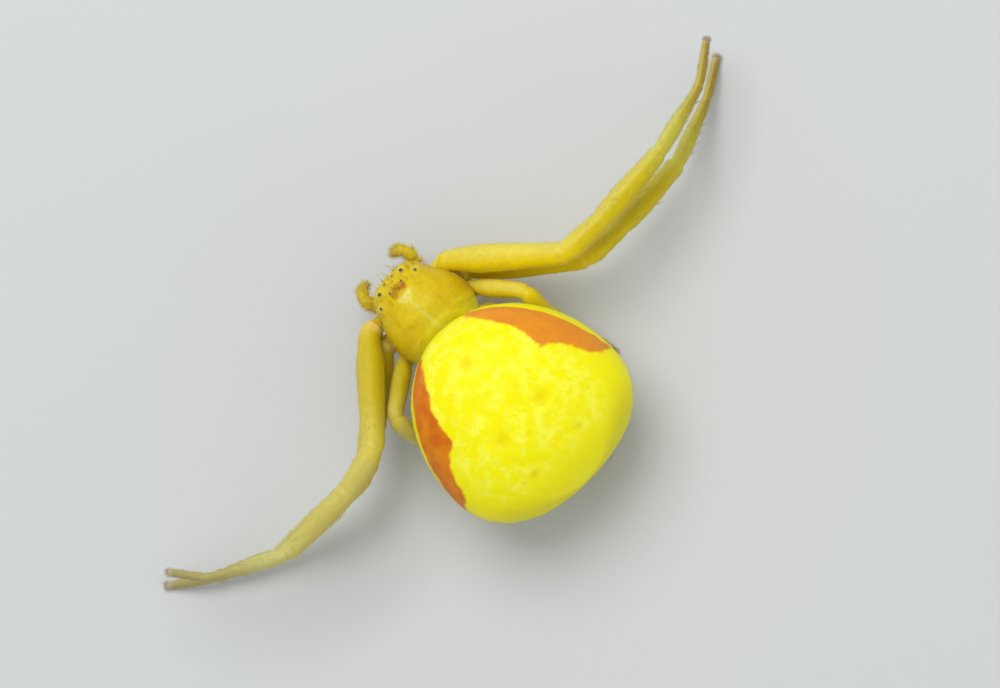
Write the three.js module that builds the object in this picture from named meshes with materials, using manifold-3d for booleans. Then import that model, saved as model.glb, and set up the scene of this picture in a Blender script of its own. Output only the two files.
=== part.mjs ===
// A life-size female crab spider, standing with its two long front pairs of legs spread to the sides.
//
// Millimetres, +Z up. The head faces -Y, so the spider's left is +X. The origin is under the middle of
// the whole figure, on the surface that its feet stand on. While the body is made, x = 0 is the midline
// of the fore-body, y = 0 is its middle and z = 0 is the floor.

import * as THREE from "three";
import { mergeVertices } from "three/addons/utils/BufferGeometryUtils.js";
import Module from "manifold-3d";

const wasm = await Module();
wasm.setup();

const UP = new THREE.Vector3(0, 0, 1);
const GAP = 0.1; // left between pieces that meet
const EYE_GAP = 0.03; // between an eye and its socket
const TIDY = 0.003; // slivers finer than this are smoothed away
const LAST_RING = 0.995; // share of the fore-body's length where its last ring stands
const END_RING = 0.02; // where the hind-body's first ring stands, as a share of the turn from end to end
const SIDES = { left: 1, right: -1 };

// Fore-body: the shell on top (carapace) and the plate between the leg bases (sternum).
const CARAPACE = {
  front: -1.5,
  rear: 1.5,
  widestAt: 0.55, // as a share of the length from the front
  halfWidth: 1.4,
  headHalfWidth: 0.86,
  underside: 1.88, // height above the floor
  faceTop: 2.72, // height of the head above the jaws
  crown: 3.04, // highest, over the leg bases
  rearTop: 2.12,
  faceSlope: 0.3, // how far the face drops to its front edge
  lip: 0.07, // thickness of the turned-in lower edge
  corner: 0.1, // share of the length over which the head's corners are rounded
  cornerCut: 0.3, // how much narrower the head is at its very front
  rearShape: [2.3, 0.6],
  sideRoundness: 0.86,
  topRoundness: 0.84,
  lipRoundness: 0.6,
  rings: 22,
  sides: 36,
};
const STERNUM = { from: -0.92, to: 1.12, halfWidth: 0.6, top: 1.78, bottom: 1.1, rings: 12, sides: 20 };
const PEDICEL = { radius: 0.27, from: [0, 1.22, 1.5], to: [0.16, 2.6, 2.2] };

// Hind-body: egg-shaped, widest well behind its middle, and turned a little to the spider's left.
const ABDOMEN = {
  length: 5.85,
  halfWidth: 3.13,
  halfHeight: 2.15,
  widestAt: 0.62, // as a share of the length from the front
  highestAt: 0.5,
  frontAt: [0.08, 0.95, 3.45],
  drop: 0.9, // how much lower its rear end is than its front end
  turn: THREE.MathUtils.degToRad(4),
  squareness: 2.2,
  // Each oval is [p, q] in (1 - x ** p) ** (1 / q), with x from 0 at its widest to 1 at its end.
  frontOval: [2, 2],
  rearOval: [2.3, 2.3],
  sideOval: [2.2, 2.2],
  undercut: [1.6, 1.2], // the front end's lower half, hollowed above the waist
  rings: 30,
  sides: 40,
};

// Legs. Each segment is [length, radius at its near end, widest radius, radius at its far end].
const LONG_LEG = {
  coxa: [0.72, 0.19, 0.22, 0.24],
  trochanter: [0.4, 0.24, 0.31, 0.32],
  femur: [3.7, 0.32, 0.41, 0.33],
  patella: [1.4, 0.31, 0.34, 0.3],
  tibia: [2.5, 0.3, 0.34, 0.26],
  metatarsus: [2.4, 0.21, 0.22, 0.14],
  tarsus: [1.42, 0.13, 0.13, 0.11],
};
const SHORT_LEG = {
  coxa: [0.6, 0.19, 0.22, 0.22],
  trochanter: [0.28, 0.22, 0.24, 0.23],
  femur: [1.95, 0.23, 0.27, 0.24],
  patella: [0.9, 0.22, 0.26, 0.25],
  tibia: [1.3, 0.25, 0.26, 0.22],
  metatarsus: [1.05, 0.2, 0.21, 0.15],
  tarsus: [0.75, 0.14, 0.14, 0.11],
};
const PIECES = {
  coxa: ["coxa", "trochanter"],
  femur: ["femur"],
  tibia: ["patella", "tibia"],
  tarsus: ["metatarsus", "tarsus"],
};
const COXA_HEIGHT = 1.48;
const FOOT_HEIGHT = 0.07; // of the middle of a standing foot's tip
const BEND = 0.36; // how far from a joint the leg begins to bend
const SWELL = 0.28; // share of a segment over which it swells to its widest

// How each leg is held: [degrees turned back from straight out, degrees lifted] for each segment.
// The first pair is carried clear of the floor. A last segment with no lift reaches down to the floor.
const LEGS = [
  {
    name: "leg1",
    build: LONG_LEG,
    size: 1,
    root: [0.62, -0.76],
    pose: {
      left: [[-14, 17], [12, 38], [48, 23], [9, 0], [-4, -5], [-32, -3], [-58, -18]],
      right: [[10, 18], [28, 38], [48, 18], [7, 1], [-1, -4], [-13, -19], [-34, -11]],
    },
  },
  {
    name: "leg2",
    build: LONG_LEG,
    size: 0.97,
    root: [0.68, -0.2],
    pose: {
      left: [[-21, -11], [11, -5], [35, 10], [-4, -11], [-11, -23], [-31, -7], [-42]],
      right: [[3, -8], [17, -14], [46, 12], [6, -4], [0, -11], [-21, -26], [-31]],
    },
  },
  {
    name: "leg3",
    build: SHORT_LEG,
    size: 1,
    root: [0.68, 0.32],
    pose: {
      left: [[2, 6], [9, 25], [37, 31], [88, -40], [110, -68], [90, -32], [92]],
      right: [[8, 7], [32, 25], [57, 35], [98, -37], [84, -65], [74, -32], [84]],
    },
  },
  {
    name: "leg4",
    build: SHORT_LEG,
    size: 1,
    root: [0.56, 0.84],
    pose: {
      left: [[28, -8], [44, -14], [64, -12], [92, -17], [106, -15], [134, -8], [154]],
      right: [[28, -8], [46, -14], [71, -11], [92, -15], [106, -16], [130, -8], [150]],
    },
  },
];

// Jaws, feelers and spinnerets, each as joints to pass through and the radius at each joint.
const CHELICERA = {
  joints: [[0.3, -1.32, 2.05], [0.3, -1.42, 1.55], [0.22, -1.5, 0.92]],
  radii: [0.24, 0.25, 0.13],
};
const PALP = {
  joints: [
    [0.64, -1.16, 1.44],
    [0.92, -1.4, 1.66],
    [0.92, -1.72, 1.78],
    [0.74, -1.97, 1.6],
    [0.56, -2.05, 1.16],
  ],
  radii: [0.15, 0.19, 0.185, 0.165, 0.11],
};
const SPINNERETS = { at: 0.86, below: 0.9, ring: 0.2, length: 0.6, radii: [0.24, 0.2, 0.08], count: 6 };

// Eyes: [sideways, along the body, radius, radius of the hill that it sits on].
const EYES = {
  front_middle: [0.16, -1.33, 0.05, 0],
  front_side: [0.48, -1.23, 0.068, 0.16],
  rear_middle: [0.24, -1.02, 0.048, 0],
  rear_side: [0.72, -0.93, 0.06, 0.15],
};
const EYE_SINK = 0.2; // how deep an eye's middle lies, as a share of its radius
const HILL_RISE = 0.3; // how far a hill lifts its eye, as a share of the hill's radius
const HILL_SINK = 0.42; // how deep the hill's own middle lies below its eye
const NEEDLE = { radius: 0.004, length: 8, sides: 6 }; // thin probe that finds a surface's height

// Solids

function solidOf(geometry) {
  const bare = geometry.clone();
  bare.deleteAttribute("normal");
  bare.deleteAttribute("uv");
  const merged = mergeVertices(bare, 1e-5);
  const index = merged.index.array;
  const kept = [];
  for (let i = 0; i < index.length; i += 3) {
    const [a, b, c] = [index[i], index[i + 1], index[i + 2]];
    if (a !== b && b !== c && a !== c) kept.push(a, b, c);
  }
  const vertProperties = merged.attributes.position.array;
  return new wasm.Manifold(new wasm.Mesh({ numProp: 3, vertProperties, triVerts: new Uint32Array(kept) }));
}

function geometryOf(solid) {
  const mesh = solid.getMesh();
  const points = new Float32Array(mesh.numVert * 3);
  for (let i = 0; i < mesh.numVert; i++) {
    points.set(mesh.vertProperties.subarray(i * mesh.numProp, i * mesh.numProp + 3), i * 3);
  }
  const geometry = new THREE.BufferGeometry();
  geometry.setAttribute("position", new THREE.BufferAttribute(points, 3));
  geometry.setIndex(new THREE.BufferAttribute(new Uint32Array(mesh.triVerts), 1));
  geometry.computeVertexNormals();
  return geometry;
}

// What is left of a solid once others are cut from it. Loose crumbs are dropped.
function cutFrom(solid, cutters) {
  const left = cutters.reduce((rest, cutter) => rest.subtract(cutter), solid);
  const pieces = left.simplify(TIDY).decompose();
  return pieces.reduce((most, piece) => (piece.volume() > most.volume() ? piece : most));
}

function middleOf(points) {
  return points.reduce((sum, p) => sum.add(p), new THREE.Vector3()).divideScalar(points.length);
}

// A closed solid through a row of rings, whose points run anticlockwise about the way the row goes.
function loft(rings) {
  const sides = rings[0].length;
  const last = (rings.length - 1) * sides;
  const points = [...rings.flat(), middleOf(rings[0]), middleOf(rings.at(-1))];
  const triangles = [];
  for (let i = 0; i < sides; i++) {
    const j = (i + 1) % sides;
    for (let start = 0; start < last; start += sides) {
      const [a, b, c, d] = [start + i, start + j, start + sides + j, start + sides + i];
      triangles.push(a, b, c, a, c, d);
    }
    triangles.push(j, i, last + sides);
    triangles.push(last + i, last + j, last + sides + 1);
  }
  const geometry = new THREE.BufferGeometry().setFromPoints(points);
  geometry.setIndex(triangles);
  return solidOf(geometry);
}

function ringAt(centre, along, radius, sides) {
  const across = new THREE.Vector3().crossVectors(UP, along).normalize();
  const upright = new THREE.Vector3().crossVectors(along, across);
  return Array.from({ length: sides }, (_, i) => {
    const angle = (2 * Math.PI * i) / sides;
    const point = centre.clone().addScaledVector(across, radius * Math.cos(angle));
    return point.addScaledVector(upright, radius * Math.sin(angle));
  });
}

function smooth(from, to, share) {
  return THREE.MathUtils.lerp(from, to, THREE.MathUtils.smoothstep(share, 0, 1));
}

// A value that runs smoothly through a row of [place, value] pairs.
function along(pairs, place) {
  const next = pairs.findIndex(([at]) => at >= place);
  if (next === 0) return pairs[0][1];
  if (next < 0) return pairs.at(-1)[1];
  const [[a, from], [b, to]] = [pairs[next - 1], pairs[next]];
  return smooth(from, to, (place - a) / (b - a));
}

// A line through joints, straight between them and rounded at each one in between.
function jointedPath(joints, bend) {
  const path = new THREE.CurvePath();
  let from = joints[0];
  for (let i = 1; i < joints.length - 1; i++) {
    const [before, joint, after] = [joints[i - 1], joints[i], joints[i + 1]];
    const reach = Math.min(bend, before.distanceTo(joint) * 0.45, joint.distanceTo(after) * 0.45);
    const enter = joint.clone().lerp(before, reach / before.distanceTo(joint));
    const leave = joint.clone().lerp(after, reach / joint.distanceTo(after));
    path.add(new THREE.LineCurve3(from, enter));
    path.add(new THREE.QuadraticBezierCurve3(enter, joint, leave));
    from = leave;
  }
  path.add(new THREE.LineCurve3(from, joints.at(-1)));
  return path;
}

// Where along a jointed path its joints are, as shares of its length.
function jointShares(path) {
  const lengths = path.curves.map((curve) => curve.getLength());
  const total = lengths.reduce((sum, length) => sum + length, 0);
  const shares = [0];
  let run = 0;
  lengths.forEach((length, i) => {
    if (i % 2) shares.push((run + length / 2) / total);
    run += length;
  });
  return [...shares, 1];
}

// A round rod along part of a path, with its thickness given by radiusAt(share of the path).
function rod(path, shares, radiusAt, sides, extra = 0) {
  return loft(
    shares.map((share) => {
      const [centre, tangent] = [path.getPointAt(share), path.getTangentAt(share)];
      return ringAt(centre, tangent, radiusAt(share) + extra, sides);
    }),
  );
}

// Fore-body

function carapaceHalfWidth(share) {
  const { widestAt, halfWidth, headHalfWidth, corner, cornerCut, rearShape } = CARAPACE;
  if (share > widestAt) {
    const behind = (share - widestAt) / (1 - widestAt);
    return halfWidth * (1 - behind ** rearShape[0]) ** rearShape[1];
  }
  const fromCorner = 1 - Math.min(1, share / corner);
  return smooth(headHalfWidth, halfWidth, share / widestAt) * (1 - cornerCut * fromCorner ** 2);
}

function carapaceTop(share) {
  const { faceTop, faceSlope, crown, rearTop, underside } = CARAPACE;
  const profile = [
    [0, faceTop - faceSlope],
    [0.08, faceTop],
    [0.3, crown - 0.1],
    [0.5, crown],
    [0.68, crown - 0.12],
    [1, rearTop],
  ];
  return along(profile, share) - underside;
}

function makeDome(extra = 0) {
  const { front, rear, underside, lip, sideRoundness, topRoundness, lipRoundness, rings, sides } = CARAPACE;
  const shares = Array.from({ length: rings }, (_, i) => LAST_RING * (i / (rings - 1)));
  return loft(
    shares.map((share) => {
      const y = THREE.MathUtils.lerp(front - extra, rear + extra, share);
      const width = carapaceHalfWidth(share) + extra;
      const height = carapaceTop(share) + extra;
      return Array.from({ length: sides }, (_, i) => {
        const angle = (2 * Math.PI * i) / sides;
        const [c, s] = [Math.cos(angle), Math.sin(angle)];
        const x = width * Math.sign(s) * Math.abs(s) ** sideRoundness;
        const up = c > 0 ? height * c ** topRoundness : -(lip + extra) * Math.abs(c) ** lipRoundness;
        return new THREE.Vector3(x, y, underside + lip + up);
      });
    }),
  );
}

function ball(radius, centre, detail) {
  return solidOf(new THREE.IcosahedronGeometry(radius, detail)).translate(centre);
}

// The height of the head's surface at a place on it.
function surfaceHeight(solid, x, y) {
  const { radius, length, sides } = NEEDLE;
  const needle = solidOf(new THREE.CylinderGeometry(radius, radius, length, sides).rotateX(Math.PI / 2));
  return solid.intersect(needle.translate([x, y, length / 2])).boundingBox().max[2];
}

function makeHead() {
  const dome = makeDome();
  const eyes = {};
  const hills = [];
  const sockets = [];
  for (const [place, [x, y, radius, hill]] of Object.entries(EYES)) {
    for (const [side, sign] of Object.entries(SIDES)) {
      const z = surfaceHeight(dome, x * sign, y) + hill * HILL_RISE - radius * EYE_SINK;
      const centre = [x * sign, y, z];
      if (hill) hills.push(ball(hill, [x * sign, y, z - hill * HILL_SINK], 2));
      sockets.push(ball(radius + EYE_GAP, centre, 1));
      eyes[`eye_${place}_${side}`] = ball(radius, centre, 1);
    }
  }
  const whole = hills.reduce((solid, hill) => solid.add(hill), dome);
  return { carapace: cutFrom(whole, sockets), eyes };
}

function makeSternum(extra = 0) {
  const { from, to, halfWidth, top, bottom, rings, sides } = STERNUM;
  const [middle, half] = [(top + bottom) / 2, (top - bottom) / 2 + extra];
  return loft(
    Array.from({ length: rings }, (_, r) => {
      const turn = Math.PI * (0.03 + (0.94 * r) / (rings - 1));
      const y = (from + to) / 2 - ((to - from) / 2 + extra) * Math.cos(turn);
      const width = (halfWidth + extra) * Math.sin(turn) ** 0.7 * (1 - 0.08 * Math.cos(turn));
      return Array.from({ length: sides }, (_, i) => {
        const angle = (2 * Math.PI * i) / sides;
        const height = half * Math.sin(turn) ** 0.3 * Math.cos(angle);
        return new THREE.Vector3(width * Math.sin(angle), y, middle + height);
      });
    }),
  );
}

// Legs

function direction(side, turn, lift) {
  const flat = new THREE.Vector3(side, 0, 0).applyAxisAngle(UP, THREE.MathUtils.degToRad(turn) * side);
  const rise = THREE.MathUtils.degToRad(lift);
  return flat.multiplyScalar(Math.cos(rise)).addScaledVector(UP, Math.sin(rise));
}

function legJoints(leg, side, segments) {
  const joints = [new THREE.Vector3(side * leg.root[0], leg.root[1], COXA_HEIGHT)];
  segments.forEach(([length], i) => {
    const from = joints.at(-1);
    const [turn, given] = leg.pose[side > 0 ? "left" : "right"][i];
    const down = THREE.MathUtils.radToDeg(Math.asin((FOOT_HEIGHT - from.z) / length));
    joints.push(from.clone().addScaledVector(direction(side, turn, given ?? down), length));
  });
  return joints;
}

// Thickness along one segment: it swells from its near end, then tapers to its far end.
function segmentRadius([, near, wide, far], share) {
  return share < SWELL ? smooth(near, wide, share / SWELL) : smooth(wide, far, (share - SWELL) / (1 - SWELL));
}

function legRadius(segments, shares, share) {
  const i = Math.min(segments.length - 1, Math.max(0, shares.findIndex((s) => s >= share) - 1));
  return segmentRadius(segments[i], (share - shares[i]) / (shares[i + 1] - shares[i]));
}

function ringShares(from, to, gap, count) {
  const [start, end] = [from + gap[0], to - gap[1]];
  return Array.from({ length: count }, (_, i) => THREE.MathUtils.lerp(start, end, i / (count - 1)));
}

function makeLeg(leg, side, extra = 0) {
  const names = Object.keys(leg.build);
  const segments = names.map((name) => leg.build[name].map((value, i) => (i ? value : value * leg.size)));
  const path = jointedPath(legJoints(leg, side, segments), BEND);
  const joints = jointShares(path);
  const gap = GAP / path.getLength() / 2;
  const radiusAt = (share) => legRadius(segments, joints, share);
  const sides = leg.build === LONG_LEG ? 12 : 10;
  const pieces = {};
  for (const [piece, parts] of Object.entries(PIECES)) {
    const first = names.indexOf(parts[0]);
    const last = names.indexOf(parts.at(-1)) + 1;
    const shares = [];
    for (let i = first; i < last; i++) {
      const ends = [i === first && i ? gap : 0, i === last - 1 && last < names.length ? gap : 0];
      const count = Math.max(4, Math.round(segments[i][0] * 2) + 2);
      shares.push(...ringShares(joints[i], joints[i + 1], ends, count).slice(i === first ? 0 : 1));
    }
    pieces[piece] = rod(path, shares, radiusAt, sides, extra);
  }
  pieces.tarsus = pieces.tarsus.trimByPlane([0, 0, 1], 0);
  return pieces;
}

// Hind-body

function abdomenPoint(share, angle, extra = 0) {
  const { length, halfWidth, halfHeight, widestAt, highestAt, frontAt, drop, turn, squareness } = ABDOMEN;
  const { frontOval, rearOval, sideOval, undercut } = ABDOMEN;
  const from = (peak) => (share < peak ? (peak - share) / peak : (share - peak) / (1 - peak));
  const oval = (x, [p, q]) => Math.max(0, 1 - x ** p) ** (1 / q);
  const [c, s] = [Math.cos(angle), Math.sin(angle)];
  const round = (value) => Math.sign(value) * Math.abs(value) ** (2 / squareness);
  const width = oval(from(widestAt), share < widestAt ? frontOval : rearOval);
  const height = oval(from(highestAt), share < highestAt && c < 0 ? undercut : sideOval);
  const x = (halfWidth + extra) * width * round(s);
  const z = (halfHeight + extra) * height * round(c);
  return new THREE.Vector3(x, share * (length + 2 * extra) - extra, z - drop * share)
    .applyAxisAngle(UP, -turn)
    .add(new THREE.Vector3(...frontAt));
}

function makeAbdomen(extra = 0) {
  const { rings, sides } = ABDOMEN;
  const shares = Array.from({ length: rings }, (_, i) => {
    const even = END_RING + ((1 - 2 * END_RING) * i) / (rings - 1);
    return (1 - Math.cos(Math.PI * even)) / 2;
  });
  return loft(
    shares.map((share) =>
      Array.from({ length: sides }, (_, i) => abdomenPoint(share, (2 * Math.PI * i) / sides, extra)),
    ),
  );
}

function makeSpinnerets(extra = 0) {
  const { at, below, ring, length, radii, count } = SPINNERETS;
  const base = abdomenPoint(at, Math.PI).lerp(abdomenPoint(at, 0), 0.5 - below / 2);
  const out = new THREE.Vector3(0, 0.94, -0.34).applyAxisAngle(UP, -ABDOMEN.turn).normalize();
  const across = new THREE.Vector3().crossVectors(UP, out).normalize();
  const upright = new THREE.Vector3().crossVectors(out, across);
  const cones = Array.from({ length: count }, (_, i) => {
    const angle = (2 * Math.PI * (i + 0.5)) / count;
    const aside = across.clone().multiplyScalar(ring * Math.cos(angle));
    aside.addScaledVector(upright, ring * Math.sin(angle));
    const joints = [-0.5, 0.5, 1].map((share) =>
      base.clone().add(aside).addScaledVector(out, share * length).addScaledVector(aside, -0.4 * share),
    );
    return fleshyRod({ joints: joints.map((p) => p.toArray()), radii }, 1, extra, 2);
  });
  return cones.reduce((solid, cone) => solid.add(cone));
}

// A soft rod through a few joints, mirrored for the other side.
function fleshyRod({ joints, radii }, side, extra = 0, perSpan = 5) {
  const path = new THREE.CatmullRomCurve3(joints.map(([x, y, z]) => new THREE.Vector3(x * side, y, z)));
  const count = (joints.length - 1) * perSpan + 1;
  const shares = Array.from({ length: count }, (_, i) => i / (count - 1));
  const rings = shares.map((share) => {
    const radius = along(radii.map((value, i) => [i / (radii.length - 1), value]), share);
    return ringAt(path.getPoint(share), path.getTangent(share), radius + extra, 12);
  });
  return loft(rings);
}

// Assembly

const MATERIALS = {
  carapace_shell: { color: 0xc9ad24, roughness: 0.45 },
  leg_shell: { color: 0xdcc428, roughness: 0.45 },
  leg_tip: { color: 0xd9cf63, roughness: 0.5 },
  abdomen_skin: { color: 0xfbf01e, roughness: 0.6 },
  eye: { color: 0x1a0f08, roughness: 0.1 },
  chelicera: { color: 0xc4912a, roughness: 0.4 },
};

function pieceMesh(name, solid, slot) {
  const material = new THREE.MeshStandardMaterial({ name: slot, ...MATERIALS[slot] });
  const mesh = new THREE.Mesh(geometryOf(solid), material);
  mesh.name = name;
  return mesh;
}

function makeBody() {
  const { carapace, eyes } = makeHead();
  const sternum = makeSternum();
  const abdomen = makeAbdomen();
  const spinnerets = makeSpinnerets();
  const waist = fleshyRod({ joints: [PEDICEL.from, PEDICEL.to], radii: [PEDICEL.radius, PEDICEL.radius] }, 1);
  const clearOfAbdomen = makeAbdomen(GAP);
  const clearOfFront = [makeDome(GAP), makeSternum(GAP)];
  const meshes = [
    pieceMesh("carapace", carapace, "carapace_shell"),
    pieceMesh("sternum", sternum, "carapace_shell"),
    pieceMesh("abdomen", abdomen, "abdomen_skin"),
    pieceMesh("spinnerets", cutFrom(spinnerets, [clearOfAbdomen]), "chelicera"),
    pieceMesh("pedicel", cutFrom(waist, [...clearOfFront, clearOfAbdomen]), "leg_shell"),
  ];
  for (const [name, eye] of Object.entries(eyes)) meshes.push(pieceMesh(name, eye, "eye"));
  for (const [name, side] of Object.entries(SIDES)) {
    const jaw = cutFrom(fleshyRod(CHELICERA, side), clearOfFront);
    const roomForJaw = fleshyRod(CHELICERA, side, GAP);
    const roomForLeg = makeLeg(LEGS[0], side, GAP).coxa;
    const palp = cutFrom(fleshyRod(PALP, side), [...clearOfFront, roomForJaw, roomForLeg]);
    meshes.push(pieceMesh(`chelicera_${name}`, jaw, "chelicera"));
    meshes.push(pieceMesh(`palp_${name}`, palp, "leg_shell"));
    for (const leg of LEGS) {
      const pieces = makeLeg(leg, side);
      pieces.coxa = cutFrom(pieces.coxa, clearOfFront);
      for (const [piece, solid] of Object.entries(pieces)) {
        const slot = piece === "tarsus" ? "leg_tip" : "leg_shell";
        meshes.push(pieceMesh(`${leg.name}_${name}_${piece}`, solid, slot));
      }
    }
  }
  return meshes;
}

const group = new THREE.Group();
group.name = "crab_spider";
group.add(...makeBody());

// The origin goes under the middle of the figure.
const box = new THREE.Box3().setFromObject(group);
const middle = box.getCenter(new THREE.Vector3());
for (const mesh of group.children) mesh.geometry.translate(-middle.x, -middle.y, -box.min.z);

export default group;
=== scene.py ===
# %% [markdown]
# # A crab spider, life size
#
# The finished model is a full-grown female crab spider, about nine millimetres long in the body. Her
# plain solids come in first. They say where everything is and how big it is, and they never move.
# Everything below gives them their skin, colour, eyes, claws and hair.

# %% Load the solids
import math

import bmesh
import bpy
import numpy as np
from mathutils import Matrix, Vector, noise


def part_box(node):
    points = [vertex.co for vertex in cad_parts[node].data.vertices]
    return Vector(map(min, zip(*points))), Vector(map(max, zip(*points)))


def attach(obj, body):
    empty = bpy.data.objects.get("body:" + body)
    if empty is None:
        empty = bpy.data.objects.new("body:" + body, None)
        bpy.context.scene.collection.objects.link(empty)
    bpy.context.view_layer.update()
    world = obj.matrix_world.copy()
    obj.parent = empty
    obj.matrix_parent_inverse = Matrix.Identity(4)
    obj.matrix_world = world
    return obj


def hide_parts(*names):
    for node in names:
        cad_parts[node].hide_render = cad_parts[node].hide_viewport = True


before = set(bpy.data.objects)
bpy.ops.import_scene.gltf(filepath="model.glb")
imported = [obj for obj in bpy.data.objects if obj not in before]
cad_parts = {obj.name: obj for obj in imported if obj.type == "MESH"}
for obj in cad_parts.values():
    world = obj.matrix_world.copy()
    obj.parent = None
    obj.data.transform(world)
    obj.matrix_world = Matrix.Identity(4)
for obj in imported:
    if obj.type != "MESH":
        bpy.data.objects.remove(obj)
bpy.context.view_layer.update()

# %% [markdown]
# ## Millimetres on the spider
#
# A spider is easiest to think about in millimetres, from a zero of her own: x = 0 on the midline of her
# fore-body, y = 0 at its middle, z = 0 on the floor, with her head towards -y and her left at +x. Blender
# works in metres, so every shape is worked out in millimetres and turned into metres once, at the very
# end. The carapace is symmetric and its front is a known 1.5 mm ahead of zero, so its box in the frame
# tells where that zero is.

# %% The spider's own zero
MM = 0.001
CARAPACE_FRONT = -1.5
carapace_low, carapace_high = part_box("carapace")
HOME = np.array([(carapace_low.x + carapace_high.x) / 2 / MM, carapace_low.y / MM - CARAPACE_FRONT, 0.0])


def to_metres(points):
    return (np.asarray(points, float) + HOME) * MM


def unit(vectors):
    vectors = np.asarray(vectors, float)
    return vectors / np.maximum(np.linalg.norm(vectors, axis=-1, keepdims=True), 1e-9)


def put_in_scene(name, data):
    made = bpy.data.objects.new(name, data)
    bpy.context.scene.collection.objects.link(made)
    return made


def new_material(name):
    material = bpy.data.materials.new(name)
    material.use_nodes = True
    return material, material.node_tree.nodes["Principled BSDF"]


print("zero of the spider, in mm of the frame:", HOME.round(3))

# %% [markdown]
# ## Camera
#
# She is seen from almost straight above, from a little behind, with her head to the upper left of the
# picture. Three directions say this best: towards the camera, and the picture's right and up. A matrix
# with those three as its columns turns the camera with no guessing at angles. A long lens from 200 mm
# keeps the perspective as flat as a close-up's.

# %% Camera
TO_CAMERA = unit([-0.052, 0.174, 0.983])
HEAD_WAY = unit(np.array([0, -1, 0]) - TO_CAMERA * np.dot([0, -1, 0], TO_CAMERA))
LEFT_WAY = np.cross(TO_CAMERA, HEAD_WAY)
HEAD_TURN = np.array([0.752, 0.659])  # how far the head points left and up in the picture
PICTURE_RIGHT = -HEAD_TURN[0] * HEAD_WAY - HEAD_TURN[1] * LEFT_WAY
PICTURE_UP = HEAD_TURN[1] * HEAD_WAY - HEAD_TURN[0] * LEFT_WAY
BACK_MIDDLE = np.array([0.34, 4.6, 4.95])  # between the two large dimples of the back
BACK_RIGHT, BACK_DOWN = 0.606, 2.127  # how far right of the picture's middle it lies, and below it
PICTURE_MIDDLE = BACK_MIDDLE - BACK_RIGHT * PICTURE_RIGHT + BACK_DOWN * PICTURE_UP
PICTURE_WIDTH = 28.17
CAMERA_DISTANCE = 200.0
SENSOR_WIDTH = 36.0
NEAREST, FURTHEST = 0.01, 10.0  # what the camera sees, in metres


def make_camera():
    camera = bpy.data.cameras.new("camera")
    camera.sensor_width = SENSOR_WIDTH
    camera.lens = SENSOR_WIDTH * CAMERA_DISTANCE / PICTURE_WIDTH
    camera.clip_start, camera.clip_end = NEAREST, FURTHEST
    holder = put_in_scene("camera", camera)
    turn = Matrix((PICTURE_RIGHT, PICTURE_UP, TO_CAMERA)).transposed().to_4x4()
    place = Matrix.Translation(to_metres(PICTURE_MIDDLE + CAMERA_DISTANCE * TO_CAMERA))
    holder.matrix_world = place @ turn
    bpy.context.scene.camera = holder
    return camera


print("lens:", round(make_camera().lens, 1), "mm")

# %% [markdown]
# ## Floor and light
#
# A plain pale floor and soft lamps. On something this small, a lamp a few centimetres wide is already a
# large soft one. Its power goes with the square of its distance, so a tenth of a watt is plenty. The
# plain "Standard" view keeps strong yellows clean, where a film-like view would wash them out.


# %% Floor and light
FLOOR_REACH, FLOOR_GREY = 0.6, (0.62, 0.63, 0.62, 1)
SKY_WHITE, SKY_STRENGTH = (0.93, 0.96, 1.0, 1), 0.6
LAMPS = {  # its direction as shares of up, right and towards the camera, then mm away, mm wide and watts
    "key": ((0.5, -0.35, 0.9), 120, 90, 0.088),
    "fill": ((-0.6, 0.9, 0.7), 140, 90, 0.024),
}


def make_floor():
    corners = [(x * FLOOR_REACH, y * FLOOR_REACH, 0) for x, y in ((-1, -1), (1, -1), (1, 1), (-1, 1))]
    mesh = bpy.data.meshes.new("floor")
    mesh.from_pydata(corners, [], [(0, 1, 2, 3)])
    floor = put_in_scene("floor", mesh)
    material, shader = new_material("floor")
    shader.inputs["Base Color"].default_value = FLOOR_GREY
    shader.inputs["Roughness"].default_value = 0.9
    mesh.materials.append(material)


def make_lamp(name, direction, distance, width, watts):
    lamp = bpy.data.lights.new(name, "AREA")
    lamp.shape = "DISK"
    lamp.size = width * MM
    lamp.energy = watts
    holder = put_in_scene(name, lamp)
    direction = Vector(unit(direction))
    holder.location = Vector(to_metres(PICTURE_MIDDLE)) + direction * distance * MM
    holder.rotation_mode = "QUATERNION"
    holder.rotation_quaternion = direction.to_track_quat("Z", "Y")


def make_sky():
    world = bpy.data.worlds.new("studio")
    world.use_nodes = True
    background = world.node_tree.nodes["Background"]
    background.inputs["Color"].default_value = SKY_WHITE
    background.inputs["Strength"].default_value = SKY_STRENGTH
    bpy.context.scene.world = world


make_floor()
make_sky()
for name, ((up, right, near), *rest) in LAMPS.items():
    make_lamp(name, up * PICTURE_UP + right * PICTURE_RIGHT + near * TO_CAMERA, *rest)
bpy.context.scene.view_settings.view_transform = "Standard"

# %% [markdown]
# ## Skins from rings
#
# A spider's body is all rounded tubes and eggs, so each skin is a stack of rings. Sculpting would do it
# too, but a grid of rings has two gifts: any point on it has a place "so far along, so far round", which
# is all that a marking or a hair needs, and the same few lines build everything from belly to claw.


# %% Skins from rings
def new_object(name, points, faces):
    mesh = bpy.data.meshes.new(name)
    mesh.from_pydata(to_metres(points).tolist(), [], faces)
    shape = bmesh.new()
    shape.from_mesh(mesh)
    bmesh.ops.recalc_face_normals(shape, faces=shape.faces)
    shape.to_mesh(mesh)
    shape.free()
    mesh.shade_smooth()
    return put_in_scene(name, mesh)


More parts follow.
